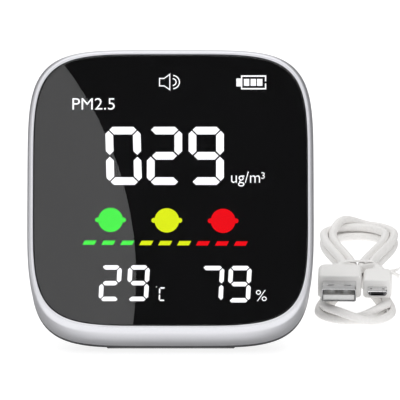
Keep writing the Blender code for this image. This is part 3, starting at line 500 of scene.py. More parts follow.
# places and sizes on the display are in millimetres from the middle of the glass
LARGE_DIGITS = [("0", -16.05, -1.6), ("2", -2.05, 0), ("9", 12.2, 0)]  # character, middle, lean in degrees
LARGE_UP, LARGE_SIZE = 11.7, (12.05, 20.25, 2.65, 0.34)  # width, height, stroke, gap
SMALL_DIGITS = [  # character, middle, width, height
    ("2", -20.5, -32.6, 7.35, 12.4), ("9", -11.0, -32.6, 7.4, 12.4),
    ("7", 14.1, -32.95, 8.0, 12.65), ("9", 23.5, -32.95, 7.8, 12.65),
]
SMALL_STROKE, SMALL_GAP, SMALL_LEAN = 1.5, 0.27, 3
INDICATORS = [("green", -20.45, -10.65), ("yellow", -1.25, -10.8), ("red", 17.95, -10.95)]
DASH_LEFT, DASH_UP, DASH_PITCH, DASH_DROP = -27.6, -18.53, 6.45, 0.04
LABELS = [  # name, words, left end, foot, height, stretch, boldness
    ("fine_dust_label", "PM2.5", -33.6, 27.88, 4.0, 1.05, -0.004),
    ("unit_label", "ug/m", 20.7, 2.3, 3.9, 0.94, -0.005),
    ("cubed_mark", "3", 30.95, 3.72, 2.2, 1.1, -0.008),
    ("percent_label", "%", 29.1, -38.8, 3.8, 1.08, -0.01),
]


def segment_bars(width, height, stroke, gap):
    """Outlines of a digit's seven bars round its middle, mitred, with clipped corners and thin gaps."""
    right, top, clip, tip = width / 2, height / 2, 0.8 * stroke, 0.5 * stroke
    flat = [(-right + clip + gap, top), (right - clip - gap, top), (right - clip / 2 - gap, top - clip / 2),
            (right - stroke - gap, top - stroke), (-right + stroke + gap, top - stroke),
            (-right + clip / 2 + gap, top - clip / 2)]
    upright = [(right - clip / 2, top - clip / 2 - gap), (right, top - clip - gap), (right, tip + gap),
               (right - tip, gap), (right - stroke, stroke - tip + gap), (right - stroke, top - stroke - gap)]
    inner, half = right - tip - 1.4 * gap, stroke / 2
    middle = [(-inner, 0), (half - inner, -half), (inner - half, -half), (inner, 0), (inner - half, half),
              (half - inner, half)]
    return {"a": flat, "d": [(x, -z) for x, z in flat], "b": upright, "c": [(x, -z) for x, z in upright],
            "f": [(-x, z) for x, z in upright], "e": [(-x, -z) for x, z in upright], "g": middle}


def digit_loops(character, right, up, width, height, stroke, gap, lean):
    """Outlines of a character's lit bars round its middle."""
    x, z = at(right, up)
    slope = math.tan(math.radians(lean))
    bars = segment_bars(width * MM, height * MM, stroke * MM, gap * MM)
    return [[(x + u + v * slope, z + v) for u, v in bars[name]] for name in LIT_SEGMENTS[character]]


def lit_piece(name, slot, loops):
    piece(name, prism(loops, LIT_FRONT, LIT_BACK), slot, matrix=DISPLAY)


def lit_text(name, words, right, up, height, stretch, boldness):
    """Generic lettering of the built-in face, from its left end and foot."""
    curve = bpy.data.curves.new(name, "FONT")
    curve.body, curve.size, curve.resolution_u, curve.offset = words, 1.0, 6, boldness
    flat = applied(added("temporary", curve))
    points = np.array([vertex.co[:] for vertex in flat.vertices])
    left, scale = points[:, 0].min(), height * MM / points[:, 1].max()
    x, z = at(right, up)
    bm = bmesh.new()
    bm.from_mesh(flat)
    bpy.data.meshes.remove(flat)
    for vertex in bm.verts:
        vertex.co = ((vertex.co.x - left) * scale * stretch + x, LIT_FRONT, vertex.co.y * scale + z)
    made = bmesh.ops.extrude_face_region(bm, geom=bm.faces[:])
    for vertex in (item for item in made["geom"] if isinstance(item, bmesh.types.BMVert)):
        vertex.co.y = LIT_BACK
    piece(name, mesh_from(bm), "lit_white", matrix=DISPLAY)


def black_film():
    """The black plate behind the graphics and the black border printed on the glass's back."""
    film = prism([superellipse(-MASK_INSET)], MASK_DEPTH, MASK_DEPTH + MASK_THICKNESS)
    piece("display_film", film, "black_plastic", ["display_mask"], finish=BLACK, matrix=CASE)
    border = in_mm((-3.6, 1.53), (-0.04, 1.53), (-0.04, 1.6), (-3.6, 1.6))
    piece("border_print", loft(border, ring=True), "black_plastic", finish=BLACK, matrix=CASE)


def display_graphics():
    large, small = [], []
    for character, right, lean in LARGE_DIGITS:
        large += digit_loops(character, right, LARGE_UP, *LARGE_SIZE, lean)
    for place in SMALL_DIGITS:
        small += digit_loops(*place, SMALL_STROKE, SMALL_GAP, SMALL_LEAN)
    lit_piece("large_digits", "lit_white", large)
    lit_piece("small_digits", "lit_white", small)
    celsius = digit_loops("C", -2.78, -36.4, 2.35, 4.75, 0.5, 0.14, 2)
    lit_piece("celsius_label", "lit_white", [*celsius, circle_loop(at(-4.75, -33.9), 0.15 * MM, 16)])
    for number, (colour, right, up) in enumerate(INDICATORS):
        lit_piece(f"{colour}_face", f"lit_{colour}", face_loops(*at(right, up)))
        lit_piece(f"{colour}_dashes", f"lit_{colour}", [dash(3 * number + step) for step in range(3)])
    lit_piece("speaker_icon", "lit_white", speaker_loops())
    lit_piece("battery_icon", "lit_white", battery_loops())
    for label in LABELS:
        lit_text(*label)


def face_loops(x, z):
    """A disc with a small round ear at each side, like a plain face."""
    ears = [circle_loop((x + side * 4.42 * MM, z), 0.83 * MM, 32) for side in (-1, 1)]
    return [circle_loop((x, z), 4.2 * MM, 96), *ears]


def dash(number):
    """One of the nine leaning dashes, counted from the left."""
    x, z = at(DASH_LEFT + DASH_PITCH * number, DASH_UP - DASH_DROP * number)
    half, rise, lean = 2.0 * MM, 0.75 * MM, 0.4 * MM
    return [(x - half - lean, z - rise), (x + half - lean, z - rise),
            (x + half + lean, z + rise), (x - half + lean, z + rise)]


def speaker_loops():
    """A loudspeaker drawn in line, its open side to the right, with two sound waves."""
    line = 0.34 * MM
    slope = line * 1.3
    left, low = at(-3.95, 36.0)
    neck, high = at(-2.2, 38.95)
    cone, cone_low = at(-0.1, 34.5)
    cone_high = 40.6 * MM
    centre = at(0.7, 37.5)
    return [
        rectangle(left, low, left + line, high),
        rectangle(left + line, low, neck, low + line),
        rectangle(left + line, high - line, neck, high),
        [(neck, low), (cone, cone_low), (cone, cone_low + slope), (neck, low + line)],
        [(neck, high - line), (cone, cone_high - slope), (cone, cone_high), (neck, high)],
        [(cone - line, cone_low + 2 * line), (cone, cone_low + slope),
         (cone, cone_high - slope), (cone - line, cone_high - 2 * line)],
        band_loop(centre, 1.0 * MM, 1.36 * MM, -88, 88),
        band_loop(centre, 2.14 * MM, 2.51 * MM, -85, 85),
    ]


def battery_loops():
    """A battery drawn in line: pole to the left, a gap in its right end, three full blocks."""
    line, stub = 0.46 * MM, 2.05 * MM
    left, low = at(24.1, 34.95)
    right, high = at(32.75, 39.85)
    pole, pole_low = at(22.52, 36.0)
    blocks = [at(start, 36.2) for start in (25.1, 27.4, 29.6)]
    return [
        rectangle(left, low, right, low + line),
        rectangle(left, high - line, right, high),
        rectangle(left, low + line, left + line, high - line),
        rectangle(right - line, low + line, right, low + stub),
        rectangle(right - line, high - stub, right, high - line),
        rectangle(pole, pole_low, left, high - 1.1 * MM),
        *(rectangle(x, z, x + 1.85 * MM, z + 2.4 * MM) for x, z in blocks),
    ]


# ---------------- charging cord
HANK_LOW, HANK_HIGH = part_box("cord_hank")
CORD_TURN = math.radians(-2)
CORD_FRAME = (Matrix.Translation(((HANK_LOW[0] + HANK_HIGH[0]) / 2, (HANK_LOW[1] + HANK_HIGH[1]) / 2, 0))
              @ Matrix.Rotation(CORD_TURN, 4, "Z"))
CORD_RADIUS = 1.5 * MM
HANK_RUN = 50 * MM  # from the tie to where a lobe starts
BEFORE_TIE = -3.2 * MM
LOWER, GROOVE, UPPER, CROSSING = 1.5 * MM, 4.25 * MM, 4.6 * MM, 4.9 * MM  # heights of the strands' centres
TIE_LIFT = 0.7 * MM
PLUG_FLOOR = 6.5 * MM
USB_A_X, MICRO_X, COLLAR_Y = -5.6 * MM, 7.7 * MM, -24 * MM
USB_A_Z, MICRO_Z = PLUG_FLOOR + 4.0 * MM, PLUG_FLOOR + 3.3 * MM
OUTER, INNER, NESTED = 12.8 * MM, 9.6 * MM, 11.2 * MM  # strand centres where a lobe starts
TIED_OUTER, TIED_INNER = 4.8 * MM, 1.6 * MM  # strand centres under the tie


def ease(share):
    share = min(max(share, 0.0), 1.0)
    return share * share * (3 - 2 * share)


def half_run(tied, wide, outward, end, level, tied_level=None):
    """Points between the tie and a lobe; end is 1 for the far half of the hank and -1 for the near one."""
    tied_level = tied_level or level
    steps, points = 12, []
    for step in range(steps):
        share = (step + 0.5) / steps
        share = share if outward else 1 - share
        x = tied + (wide - tied) * ease(share)
        z = level + (tied_level - level) * (1 - ease(share * 1.6))
        lift = TIE_LIFT * (1 - ease(share * HANK_RUN / (9 * MM)))
        points.append((x, end * HANK_RUN * share, z + lift))
    return points


def lobe(start, finish, reach, end, height):
    """Half a turn round an end of the hank, from one x to another, reach long."""
    middle, half = (start + finish) / 2, (start - finish) / 2
    steps, points = 18, []
    for step in range(steps + 1):
        share = step / steps
        x = middle + half * math.cos(math.pi * share)
        y = end * (HANK_RUN + reach * math.sin(math.pi * share))
        points.append((x, y, height(share)))
    return points


def heights(*stops):
    """A height that eases from one (share, height) to the next, and stays at the last."""
    def value(share):
        for (before, low), (after, high) in zip(stops, stops[1:]):
            if share <= after:
                return low + (high - low) * ease((share - before) / (after - before))
        return stops[-1][1]
    return value


def low_turn(tied, wide, reach):
    """A turn against the table, from the end of one near lobe to the start of the next."""
    points = half_run(tied, wide, False, -1, LOWER) + half_run(tied, wide, True, 1, LOWER)
    points += lobe(wide, -wide, reach, 1, heights((0, LOWER)))
    return points + half_run(-tied, -wide, False, 1, LOWER) + half_run(-tied, -wide, True, -1, LOWER)


def cord_route():
    """The whole cord in the hank's own frame, from the small plug to the large one."""
    points = [(MICRO_X, COLLAR_Y - 1 * MM, MICRO_Z), (MICRO_X, COLLAR_Y + 1.5 * MM, MICRO_Z),
              (MICRO_X - 0.9 * MM, COLLAR_Y + 6 * MM, MICRO_Z - 0.4 * MM),
              (3.9 * MM, COLLAR_Y + 12.5 * MM, 7.6 * MM), (2.1 * MM, BEFORE_TIE - 3.5 * MM, 5.8 * MM),
              (TIED_INNER, BEFORE_TIE + 1.5 * MM, UPPER + TIE_LIFT)]
    # first turn: far lobe from the right inner strand to the left outer one, on top
    points += half_run(TIED_INNER, INNER, True, 1, UPPER)
    points += lobe(INNER, -OUTER, 11.2 * MM, 1, heights((0, UPPER)))
    points += half_run(-TIED_OUTER, -OUTER, False, 1, UPPER)
    points += half_run(-TIED_OUTER, -NESTED, True, -1, GROOVE, UPPER)
    sinking = heights((0, GROOVE), (0.28, CROSSING), (0.72, LOWER))
    points += lobe(-NESTED, OUTER, 16.1 * MM, -1, sinking)
    # second turn, against the table: outer strands
    points += low_turn(TIED_OUTER, OUTER, 12.8 * MM)
    points += lobe(-OUTER, INNER, 13.0 * MM, -1, heights((0, LOWER)))
    # third turn, against the table: inner strands
    points += low_turn(TIED_INNER, INNER, 9.6 * MM)
    rising = heights((0, LOWER), (0.42, LOWER), (0.86, CROSSING), (1, GROOVE))
    points += lobe(-INNER, NESTED, 9.9 * MM, -1, rising)
    # last turn, on top: its far lobe crosses over the first one
    points += half_run(TIED_OUTER, NESTED, False, -1, GROOVE, UPPER)
    points += half_run(TIED_OUTER, OUTER, True, 1, UPPER)
    crossing = heights((0, UPPER), (0.42, UPPER), (0.74, 7.5 * MM), (1, UPPER))
    points += lobe(OUTER, -INNER, 14.4 * MM, 1, crossing)
    points += half_run(-TIED_INNER, -INNER, False, 1, UPPER)
    points += [(-TIED_INNER, BEFORE_TIE + 1.5 * MM, UPPER + TIE_LIFT),
               (-1.9 * MM, BEFORE_TIE - 3.5 * MM, 6.0 * MM), (-2.9 * MM, COLLAR_Y + 12.5 * MM, 8.0 * MM),
               (USB_A_X + 0.6 * MM, COLLAR_Y + 6 * MM, USB_A_Z - 0.5 * MM),
               (USB_A_X, COLLAR_Y + 1.5 * MM, USB_A_Z), (USB_A_X, COLLAR_Y - 1 * MM, USB_A_Z)]
    return points


def smoothed(points, spacing):
    """Evenly spaced points on a smooth curve through the given ones."""
    places = [Vector(point) for point in points]
    ends = [2 * places[0] - places[1], *places, 2 * places[-1] - places[-2]]
    dense = []
    for a, b, c, d in zip(ends, ends[1:], ends[2:], ends[3:]):
        for step in range(8):
            t = step / 8
            dense.append(0.5 * (2 * b + (c - a) * t + (2 * a - 5 * b + 4 * c - d) * t * t
                                + (3 * b - a - 3 * c + d) * t ** 3))
    dense.append(places[-1])
    reached = [0.0]
    for before, after in zip(dense, dense[1:]):
        reached.append(reached[-1] + (after - before).length)
    count = max(2, round(reached[-1] / spacing))
    table = np.array([place[:] for place in dense])
    wanted = np.linspace(0, reached[-1], count + 1)
    columns = [np.interp(wanted, reached, table[:, axis]) for axis in range(3)]
    return [Vector(row) for row in np.stack(columns, 1)]


def charging_cord():
    route = [CORD_FRAME @ place for place in smoothed(cord_route(), 1.3 * MM)]
    curve = bpy.data.curves.new("charging_cord", "CURVE")
    curve.dimensions = "3D"
    curve.bevel_depth, curve.bevel_resolution, curve.use_fill_caps = CORD_RADIUS, 8, True
    line = curve.splines.new("POLY")
    line.points.add(len(route) - 1)
    for target, place in zip(line.points, route):
        target.co = (*place, 1)
    line.use_smooth = True
    curve.materials.append(SLOTS["white_cord"])
    flex = added("charging_cord", curve)
    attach(flex, "monitor")
    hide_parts("cord_hank", "usb_a_cord_end", "micro_cord_end")
    return flex


def round_rectangle(half_x, half_z, corner, steps=7):
    """Outline of a rectangle with round corners, in x and z."""
    corner = min(corner, half_x, half_z)
    points = []
    for quarter, (sx, sz) in enumerate(((1, 1), (-1, 1), (-1, -1), (1, -1))):
        for step in range(steps):
            angle = math.pi / 2 * (quarter + step / (steps - 1))
            points.append((sx * (half_x - corner) + corner * math.cos(angle),
                           sz * (half_z - corner) + corner * math.sin(angle)))
    return points


def swept(sections):
    """A closed body through round rectangles along y, in mm: (y, half width, half height, corner)."""
    return skinned([[(x, y * MM, z) for x, z in round_rectangle(half_x * MM, half_z * MM, corner * MM)]
                    for y, half_x, half_z, corner in sections])


def grip_sections(half_x, half_z, end):
    """Overmould of a plug, its front face at y 0, with a ribbed collar behind its end."""
    sections = [(0, half_x - 0.5, half_z - 0.5, 1.0), (0.12, half_x - 0.22, half_z - 0.22, 1.1),
                (0.5, half_x, half_z, 1.3), (end - 4.5, half_x, half_z, 1.3),
                (end - 2.2, half_x - 0.25, half_z - 0.15, 1.5), (end - 0.9, half_x - 0.8, half_z - 0.4, 1.8),
                (end - 0.3, half_x - 1.5, half_z - 0.75, 2.0), (end, half_x - 2.4, half_z - 1.2, 2.2)]
    wide, narrow, taper, pitch = 2.75, 2.15, 0.1, 1.6
    collar = [(end + 0.02, wide)]
    for rib in range(4):
        y, crest = end + 0.02 + pitch * rib, wide - taper * rib
        collar += [(y + 0.75, crest), (y + 0.9, crest - 0.12), (y + 0.95, narrow), (y + 1.45, narrow),
                   (y + 1.5, crest - 0.2), (y + 1.65, crest - 0.08)]
    y, crest = end + 0.02 + pitch * 4, wide - taper * 4
    collar += [(y + 0.7, crest), (y + 0.85, crest - 0.2), (end + 8, 1.75)]
    return sections + [(y, radius, radius, wide) for y, radius in collar]


def shell_box(half_x, half_z, length, wall, corner):
    """A pressed shell, open at the front and hollow almost to its back, its mouth at y 0."""
    outer = swept([(0, half_x, half_z, corner), (length, half_x, half_z, corner)])
    inside_x, inside_z = half_x - wall, half_z - wall
    inner = swept([(-1, inside_x, inside_z, corner), (length - 0.8, inside_x, inside_z, corner)])
    return combined(outer, [inner], "DIFFERENCE")


GRIP_FRONT, GRIP_LENGTH = COLLAR_Y - 27 * MM, 19


def plug_grip(name, x, z, half_x, half_z):
    """The overmould of a plug; its half width, half height and length are in millimetres."""
    return piece(f"{name}_grip", swept(grip_sections(half_x, half_z, GRIP_LENGTH)), "white_plug",
                 [f"{name}_plug_body"], matrix=CORD_FRAME @ Matrix.Translation((x, GRIP_FRONT, z)), sharp=50)


def usb_a_pieces():
    """Pressed shell with four catches, tongue and four contacts of the large plug."""
    place = CORD_FRAME @ Matrix.Translation((USB_A_X, GRIP_FRONT - 12 * MM, USB_A_Z))
    catches = [box_mesh((2.3 * MM, 2.3 * MM, 1.2 * MM), (side * 2.9 * MM, 6.0 * MM, face * 2.25 * MM))
               for side in (-1, 1) for face in (-1, 1)]
    shell = combined(shell_box(6.0, 2.25, 12.2, 0.32, 0.55), catches, "DIFFERENCE")
    tongue = swept([(0.5, 5.4, 0.85, 0.15), (0.7, 5.5, 0.95, 0.2), (11.4, 5.5, 0.95, 0.2)])
    contacts = [in_mm(*rectangle(middle - 0.5, 0.08, middle + 0.5, 0.2)) for middle in (-3.5, -1.0, 1.0, 3.5)]
    return [
        piece("usb_a_sleeve", shell, "plug_steel", ["usb_a_shell"], matrix=place),
        piece("usb_a_tongue", tongue, "white_plastic",
              matrix=place @ Matrix.Translation((0, 0, -0.9 * MM))),
        piece("usb_a_contacts", prism(contacts, 1.5 * MM, 9 * MM), "tinned_steel", matrix=place),
    ]


def micro_pieces():
    """Pressed tip with two latches, and the tongue of the small plug."""
    place = CORD_FRAME @ Matrix.Translation((MICRO_X, GRIP_FRONT - 6.5 * MM, MICRO_Z))
    outline = [(-3.42, 0.9), (-3.42, -0.1), (-2.6, -0.9), (2.6, -0.9), (3.42, -0.1), (3.42, 0.9)]
    inside = [(0.9 * x, 0.66 * z) for x, z in outline]
    latches = [box_mesh((0.8 * MM, 1.6 * MM, 1.0 * MM), (side * 2.2 * MM, 3.2 * MM, 0.9 * MM))
               for side in (-1, 1)]
    tip = bevelled(prism([in_mm(*outline)], 0, 6.7 * MM), 0.18 * MM)
    tip = combined(tip, [prism([in_mm(*inside)], -1 * MM, 6 * MM), *latches], "DIFFERENCE")
    tongue = swept([(0.5, 2.2, 0.2, 0.1), (5.9, 2.2, 0.2, 0.1)])
    return [piece("micro_sleeve", tip, "plug_steel", ["micro_plug_tip"], matrix=place),
            piece("micro_tongue", tongue, "black_plastic", matrix=place)]


def plug_pieces():
    grips = [plug_grip("usb_a", USB_A_X, USB_A_Z, 7.6, 4.0), plug_grip("micro", MICRO_X, MICRO_Z, 5.0, 3.3)]
    return grips + usb_a_pieces() + micro_pieces()


def ribbon(points, ups, half_width, half_thickness):
    """A flat strip with a wire in its middle, its flat side facing each up vector."""
    above = [(0.85, 1), (0.3, 1), (0, 1.5), (-0.3, 1), (-0.85, 1)]
    below = [(-u, -v) for u, v in above]
    outline = [(1, -0.4), (1, 0.4), *above, (-1, 0.4), (-1, -0.4), *below]
    rows = []
    for number, place in enumerate(points):
        before, after = points[max(number - 1, 0)], points[min(number + 1, len(points) - 1)]
        along = (after - before).normalized()
        side = along.cross(ups[number]).normalized()
        up = side.cross(along).normalized()
        across, over = side * half_width, up * half_thickness
        rows.append([place + across * u + over * v for u, v in outline])
    return skinned(rows)


TIE_HALF_WIDTH, TIE_LOW, TIE_HIGH, TIE_BEND = 6.85 * MM, 0.35 * MM, 7.2 * MM, 2.2 * MM
TIE_MIDDLE = (TIE_LOW + TIE_HIGH) / 2


def tie_band():
    """The band round the waist of the hank. It starts and ends at its right side, where the twist begins."""
    corners = round_rectangle(TIE_HALF_WIDTH, (TIE_HIGH - TIE_LOW) / 2, TIE_BEND, 8)
    ring = [Vector((x, 0, TIE_MIDDLE + z)) for x, z in corners]
    first = Vector((TIE_HALF_WIDTH, 0, TIE_MIDDLE))
    start = min(range(len(ring)), key=lambda number: (ring[number] - first).length)
    ring = ring[start:] + ring[:start]
    loop = [first, *ring[1:], first - Vector((0, 0, 0.4 * MM))]
    centre = Vector((0, 0, TIE_MIDDLE))
    band = ribbon(loop, [(place - centre).normalized() for place in loop], 1.15 * MM, 0.2 * MM)
    return piece("tie_band", band, "white_plug", ["cord_tie"], matrix=CORD_FRAME)


def tie_end(number):
    """One of the two ends, twisted round each other and spread at their tips."""
    first = Vector((TIE_HALF_WIDTH, 0, TIE_MIDDLE))
    steps, points, ups = 36, [], []
    for step in range(steps + 1):
        share = step / steps
        turn = math.pi * (number - 1 + 3.2 * min(share / 0.75, 1.0))
        spread = 0.32 * MM + 1.5 * MM * max(0.0, share - 0.72) / 0.28
        up = Vector((0, math.cos(turn), math.sin(turn)))
        axis = first + Vector(((0.2 + 8.0 * share) * MM, 2.0 * MM * share, -1.2 * MM * share))
        points.append(axis + up * spread)
        ups.append(up)
    end = ribbon(points, ups, 1.0 * MM, 0.16 * MM)
    return piece(f"tie_end_{number}", end, "white_plug", matrix=CORD_FRAME)


# ---------------- other parts
SOFTENED = [  # node, body, slot, piece, how far its edges are rounded
    ("fold_leg", "leg", "dark_plastic", "leg_plate", 0.4 * MM),
    ("leg_pad", "leg", "rubber", "leg_foot", 0.35 * MM),
    ("base_strip", "monitor", "rubber", "base_rubber", 0.3 * MM),
    *((f"case_screw_{number}", "monitor", "screw_steel", f"screw_head_{number}", 0.15 * MM)
      for number in range(1, 5)),
]


def softened(node, body, slot, name, width):
    """The same part as a node, with its edges rounded."""
    piece(name, bevelled(frame["nodes"][node].data.copy(), width, 2), slot, [node], body)


def button_cap(name):
    """A dished cap turned about the button's axis, in one piece with its flange."""
    profile = in_mm((0, 39.62), (1.2, 39.66), (2.2, 39.76), (2.8, 39.88), (3.05, 39.9), (3.3, 39.82),
                    (3.45, 39.6), (3.5, 39.3), (3.5, 36.6), (4.5, 36.6), (4.5, 35.7), (1.4, 35.7),
                    (1.4, 34.1), (0, 34.1))
    bm = bmesh.new()
    rows = [[bm.verts.new((x, depth, z)) for x, z in circle_loop((0, 0), radius)]
            for radius, depth in profile[1:-1]]
    for (_, depth), row in ((profile[0], rows[0]), (profile[-1], rows[-1])):
        tip = bm.verts.new((0, depth, 0))
        for here, after in zip(row, row[1:] + row[:1]):
            bm.faces.new((tip, here, after))
    for first, second in zip(rows, rows[1:]):
        bridge(bm, first, second)
    piece(f"{name}_cap", mesh_from(bm), "silver_paint", [f"{name}_button"], f"{name}_button",
          matrix=CASE @ Matrix.Translation((BUTTON_X[name], 0, BUTTON_Z)))


def socket_tongue():
    """The insulator inside the charging socket, just behind its mouth."""
    middle, mouth = socket_middle(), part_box("usb_socket")[1][0]
    length, behind = 4.4 * MM, 0.5 * MM
    tongue = box_mesh((length, 0.65 * MM, 3.7 * MM), (mouth - behind - length / 2, middle.y, middle.z))
    piece("socket_tongue", bevelled(tongue, 0.12 * MM), "black_plastic", matrix=CASE)


def back_marks():
    """Plain signs printed above the buttons: a broken ring with a bar, and two turning arrows."""
    up, inner, outer, half = BUTTON_Z + 6.2 * MM, 0.95 * MM, 1.27 * MM, 0.16 * MM
    x = BUTTON_X["power"]
    power = [band_loop((x, up), inner, outer, 125, 415), rectangle(x - half, up, x + half, up + 1.5 * MM)]
    centre = (BUTTON_X["mode"], up)
    mode = []
    for start in (20, 200):
        end = start + 115
        mode.append(band_loop(centre, inner, outer, start, end))
        mode.append([polar(centre, 1.11 * MM, end + 35), polar(centre, 0.6 * MM, end),
                     polar(centre, 1.62 * MM, end)])
    for name, loops in (("power_mark", power), ("mode_mark", mode)):
        mark = prism(loops, COVER_DEPTH - 0.05 * MM, COVER_DEPTH + 0.06 * MM)
        piece(name, mark, "white_plastic", matrix=CASE)


# ---------------- camera, light and floor
CAMERA_UP = Vector((0, math.sin(CAMERA_RISE), math.cos(CAMERA_RISE)))
CAMERA_BACK = Vector((0, -math.cos(CAMERA_RISE), math.sin(CAMERA_RISE)))


def aim(obj, place, target):
    obj.location = place
    obj.rotation_mode = "QUATERNION"
    obj.rotation_quaternion = (Vector(target) - Vector(place)).to_track_quat("-Z", "Y")


def camera():
    """Sets the camera up in front of the face and above it; gives its place."""
    data = bpy.data.cameras.new("camera")
    data.sensor_width = 36.0
    data.lens = data.sensor_width * CAMERA_DISTANCE / VIEW_WIDTH
    data.clip_start, data.clip_end = 0.05, 60.0
    obj = added("camera", data)
    target = FACE + Vector((AIM_RIGHT, 0, 0)) - CAMERA_UP * AIM_DOWN
    aim(obj, target + CAMERA_BACK * CAMERA_DISTANCE, target)
    bpy.context.scene.camera = obj
    return obj.location.copy()


def panel_light(name, place, target, size, power, shape="SQUARE"):
    data = bpy.data.lights.new(name, "AREA")
    data.shape, data.size, data.energy = shape, size, power
    obj = added(name, data)
    aim(obj, place, target)
    obj.visible_camera = False


GLARE_RIGHT, GLARE_UP, GLARE_RADIUS = -130.6 * MM, -29.8 * MM, 119 * MM  # where the glass shows it
GLARE_AWAY, GLARE_LEVEL = 0.8, 0.93


def mirrored(point):
    """A point's mirror image in the glass."""
    return point + 2 * BACKWARD * (FACE - point).dot(BACKWARD)


def glare_card(eye):
    """A soft round card that the glass mirrors on its left side."""
    middle = FACE + Vector((GLARE_RIGHT, 0, 0)) + CAMERA_UP * GLARE_UP
    grow = (CAMERA_DISTANCE + GLARE_AWAY) / CAMERA_DISTANCE
    radius = GLARE_RADIUS * grow
    panel_light("glare_card", mirrored(eye + (middle - eye) * grow), mirrored(eye), 2 * radius,
                GLARE_LEVEL * math.pi * math.pi * radius ** 2, shape="DISK")


SIDE_TONES = [(0.0, 0.5), (0.3, 1.15), (0.66, 1.15), (1.0, 0.28)]  # the world's light from left to right
MIRROR_EDGE, MIRROR_MIDDLE, MIRROR_TONE = math.radians(18), math.radians(6), 0.03
OVERHEAD_SPAN, OVERHEAD_TONE = (0.7, 0.95), 0.72


def side_tones(tree, across):
    """The world's tone by how far a direction points to the right."""
    ramp = tree.nodes.new("ShaderNodeValToRGB")
    ramp.color_ramp.interpolation = "EASE"
    stops = ramp.color_ramp.elements
    stops[0].position, stops[1].position = SIDE_TONES[0][0], SIDE_TONES[-1][0]
    for position, _ in SIDE_TONES[1:-1]:
        stops.new(position)
    for stop, (_, value) in zip(stops, SIDE_TONES):
        stop.color = (value, value, value, 1)
    tree.links.new(map_range(tree, across, (-1, 1)), ramp.inputs["Fac"])
    return ramp.outputs["Color"]


def mirror_hole(tree, direction):
    """Almost black where the glass looks when it is seen from the front."""
    near = tree.nodes.new("ShaderNodeVectorMath")
    near.operation = "DOT_PRODUCT"
    rise = 2 * LEAN - CAMERA_RISE
    near.inputs[1].default_value = (0, -math.cos(rise), math.sin(rise))
    tree.links.new(direction, near.inputs[0])
    hole = map_range(tree, near.outputs["Value"], (math.cos(MIRROR_EDGE), math.cos(MIRROR_MIDDLE)),
                     (1.0, MIRROR_TONE))
    hole.node.interpolation_type = "SMOOTHSTEP"
    return hole


def world_tone(tree):
    """The world's light by direction: dimmer at the sides, overhead and where the glass looks."""
    direction = tree.nodes.new("ShaderNodeTexCoord").outputs["Generated"]
    split = tree.nodes.new("ShaderNodeSeparateXYZ")
    tree.links.new(direction, split.inputs["Vector"])
    dimmed = tree.nodes.new("ShaderNodeMath")
    dimmed.operation = "MULTIPLY"
    tree.links.new(mirror_hole(tree, direction), dimmed.inputs[0])
    tree.links.new(map_range(tree, split.outputs["Z"], OVERHEAD_SPAN, (1.0, OVERHEAD_TONE)), dimmed.inputs[1])
    level = tree.nodes.new("ShaderNodeMix")
    level.data_type, level.blend_type = "RGBA", "MULTIPLY"
    level.inputs["Factor"].default_value = 1.0
    tree.links.new(side_tones(tree, split.outputs["X"]), level.inputs["A"])
    tree.links.new(dimmed.outputs["Value"], level.inputs["B"])
    return level.outputs["Result"]


def studio_world():
    """Plain white to the camera, and the shaped studio light to everything else."""
    world = bpy.data.worlds.new("studio")
    bpy.context.scene.world = world
    world.use_nodes = True
    tree = world.node_tree
    tree.nodes.clear()
    kinds = ("Background", "Background", "LightPath", "MixShader", "OutputWorld")
    lit, seen, ray, mix, out = (tree.nodes.new(f"ShaderNode{kind}") for kind in kinds)
    seen.inputs["Color"].default_value = (1, 1, 1, 1)
    tree.links.new(world_tone(tree), lit.inputs["Color"])
    tree.links.new(ray.outputs["Is Camera Ray"], mix.inputs["Fac"])
    tree.links.new(lit.outputs["Background"], mix.inputs[1])
    tree.links.new(seen.outputs["Background"], mix.inputs[2])
    tree.links.new(mix.outputs["Shader"], out.inputs["Surface"])


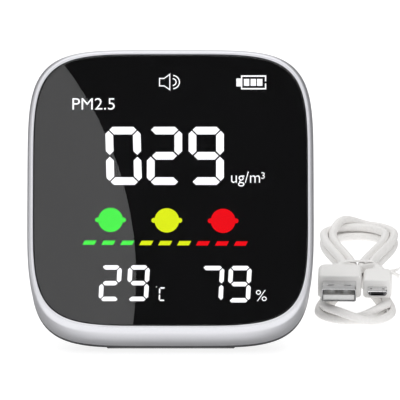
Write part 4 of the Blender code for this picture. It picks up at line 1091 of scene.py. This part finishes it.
def staged(name, mesh, colour, specular, glow):
    """Adds a plain matt sheet of the studio, which shines a little."""
    made, _, shader = shader_of(name)
    put(shader, Base_Color=(colour, colour, colour, 1), Roughness=0.9, Specular_IOR_Level=specular,
        Emission_Color=(1, 1, 1, 1), Emission_Strength=glow)
    mesh.materials.append(made)
    obj = added(name, mesh)
    return obj


def floor():
    bm = bmesh.new()
    bmesh.ops.create_grid(bm, x_segments=1, y_segments=1, size=4.0)
    staged("floor", mesh_from(bm), 0.4, 0.1, 0.81)


CARDS = [  # name, two opposite corners, tone
    ("left_flag", (-0.13, 0.03, 0.002), (-0.13, 0.48, 0.3), 0.0),
    ("right_flag", (0.13, 0.0, 0.002), (0.13, 0.45, 0.3), 0.0),
    # painted shade: a dim sheet on the floor under the case, seen only in glossy reflections, standing in for
    # the shadow there
    ("painted_shade_under_case", (-0.3, -0.02, 0.001), (0.3, 0.3, 0.001), 0.17),
    ("back_flag", (-0.4, 0.6, 0.0), (0.4, 0.6, 0.5), 0.45),
]


def studio_card(name, low, high, tone):
    """A card between two corners that only glossy surfaces see, to shape what the paint mirrors."""
    first, second = (axis for axis in range(3) if low[axis] != high[axis])
    corners = [list(low) for _ in range(4)]
    corners[1][first] = corners[2][first] = high[first]
    corners[2][second] = corners[3][second] = high[second]
    mesh = bpy.data.meshes.new(name)
    mesh.from_pydata(corners, [], [(0, 1, 2, 3)])
    card = staged(name, mesh, 0.01, 0.0, tone)
    card.visible_camera = card.visible_diffuse = card.visible_transmission = card.visible_shadow = False


def studio():
    for card in CARDS:
        studio_card(*card)
    bpy.context.scene.view_settings.view_transform = "Standard"
    studio_world()
    floor()
    glare_card(camera())
    panel_light("top_light", (0.1, -0.2, 1.6), (0, 0, 0), 1.6, 6.5)


def cord_and_plugs():
    cord = charging_cord()
    pieces = [*plug_pieces(), tie_band(), tie_end(1), tie_end(2)]


def case_and_display():
    front_shell()
    lens_glass()
    rear_shell()
    black_film()
    display_graphics()
    for name in BUTTON_X:
        button_cap(name)
    back_marks()
    socket_tongue()
    for part in SOFTENED:
        softened(*part)


def main():
    studio()
    dress_nodes()
    cord_and_plugs()
    case_and_display()


main()
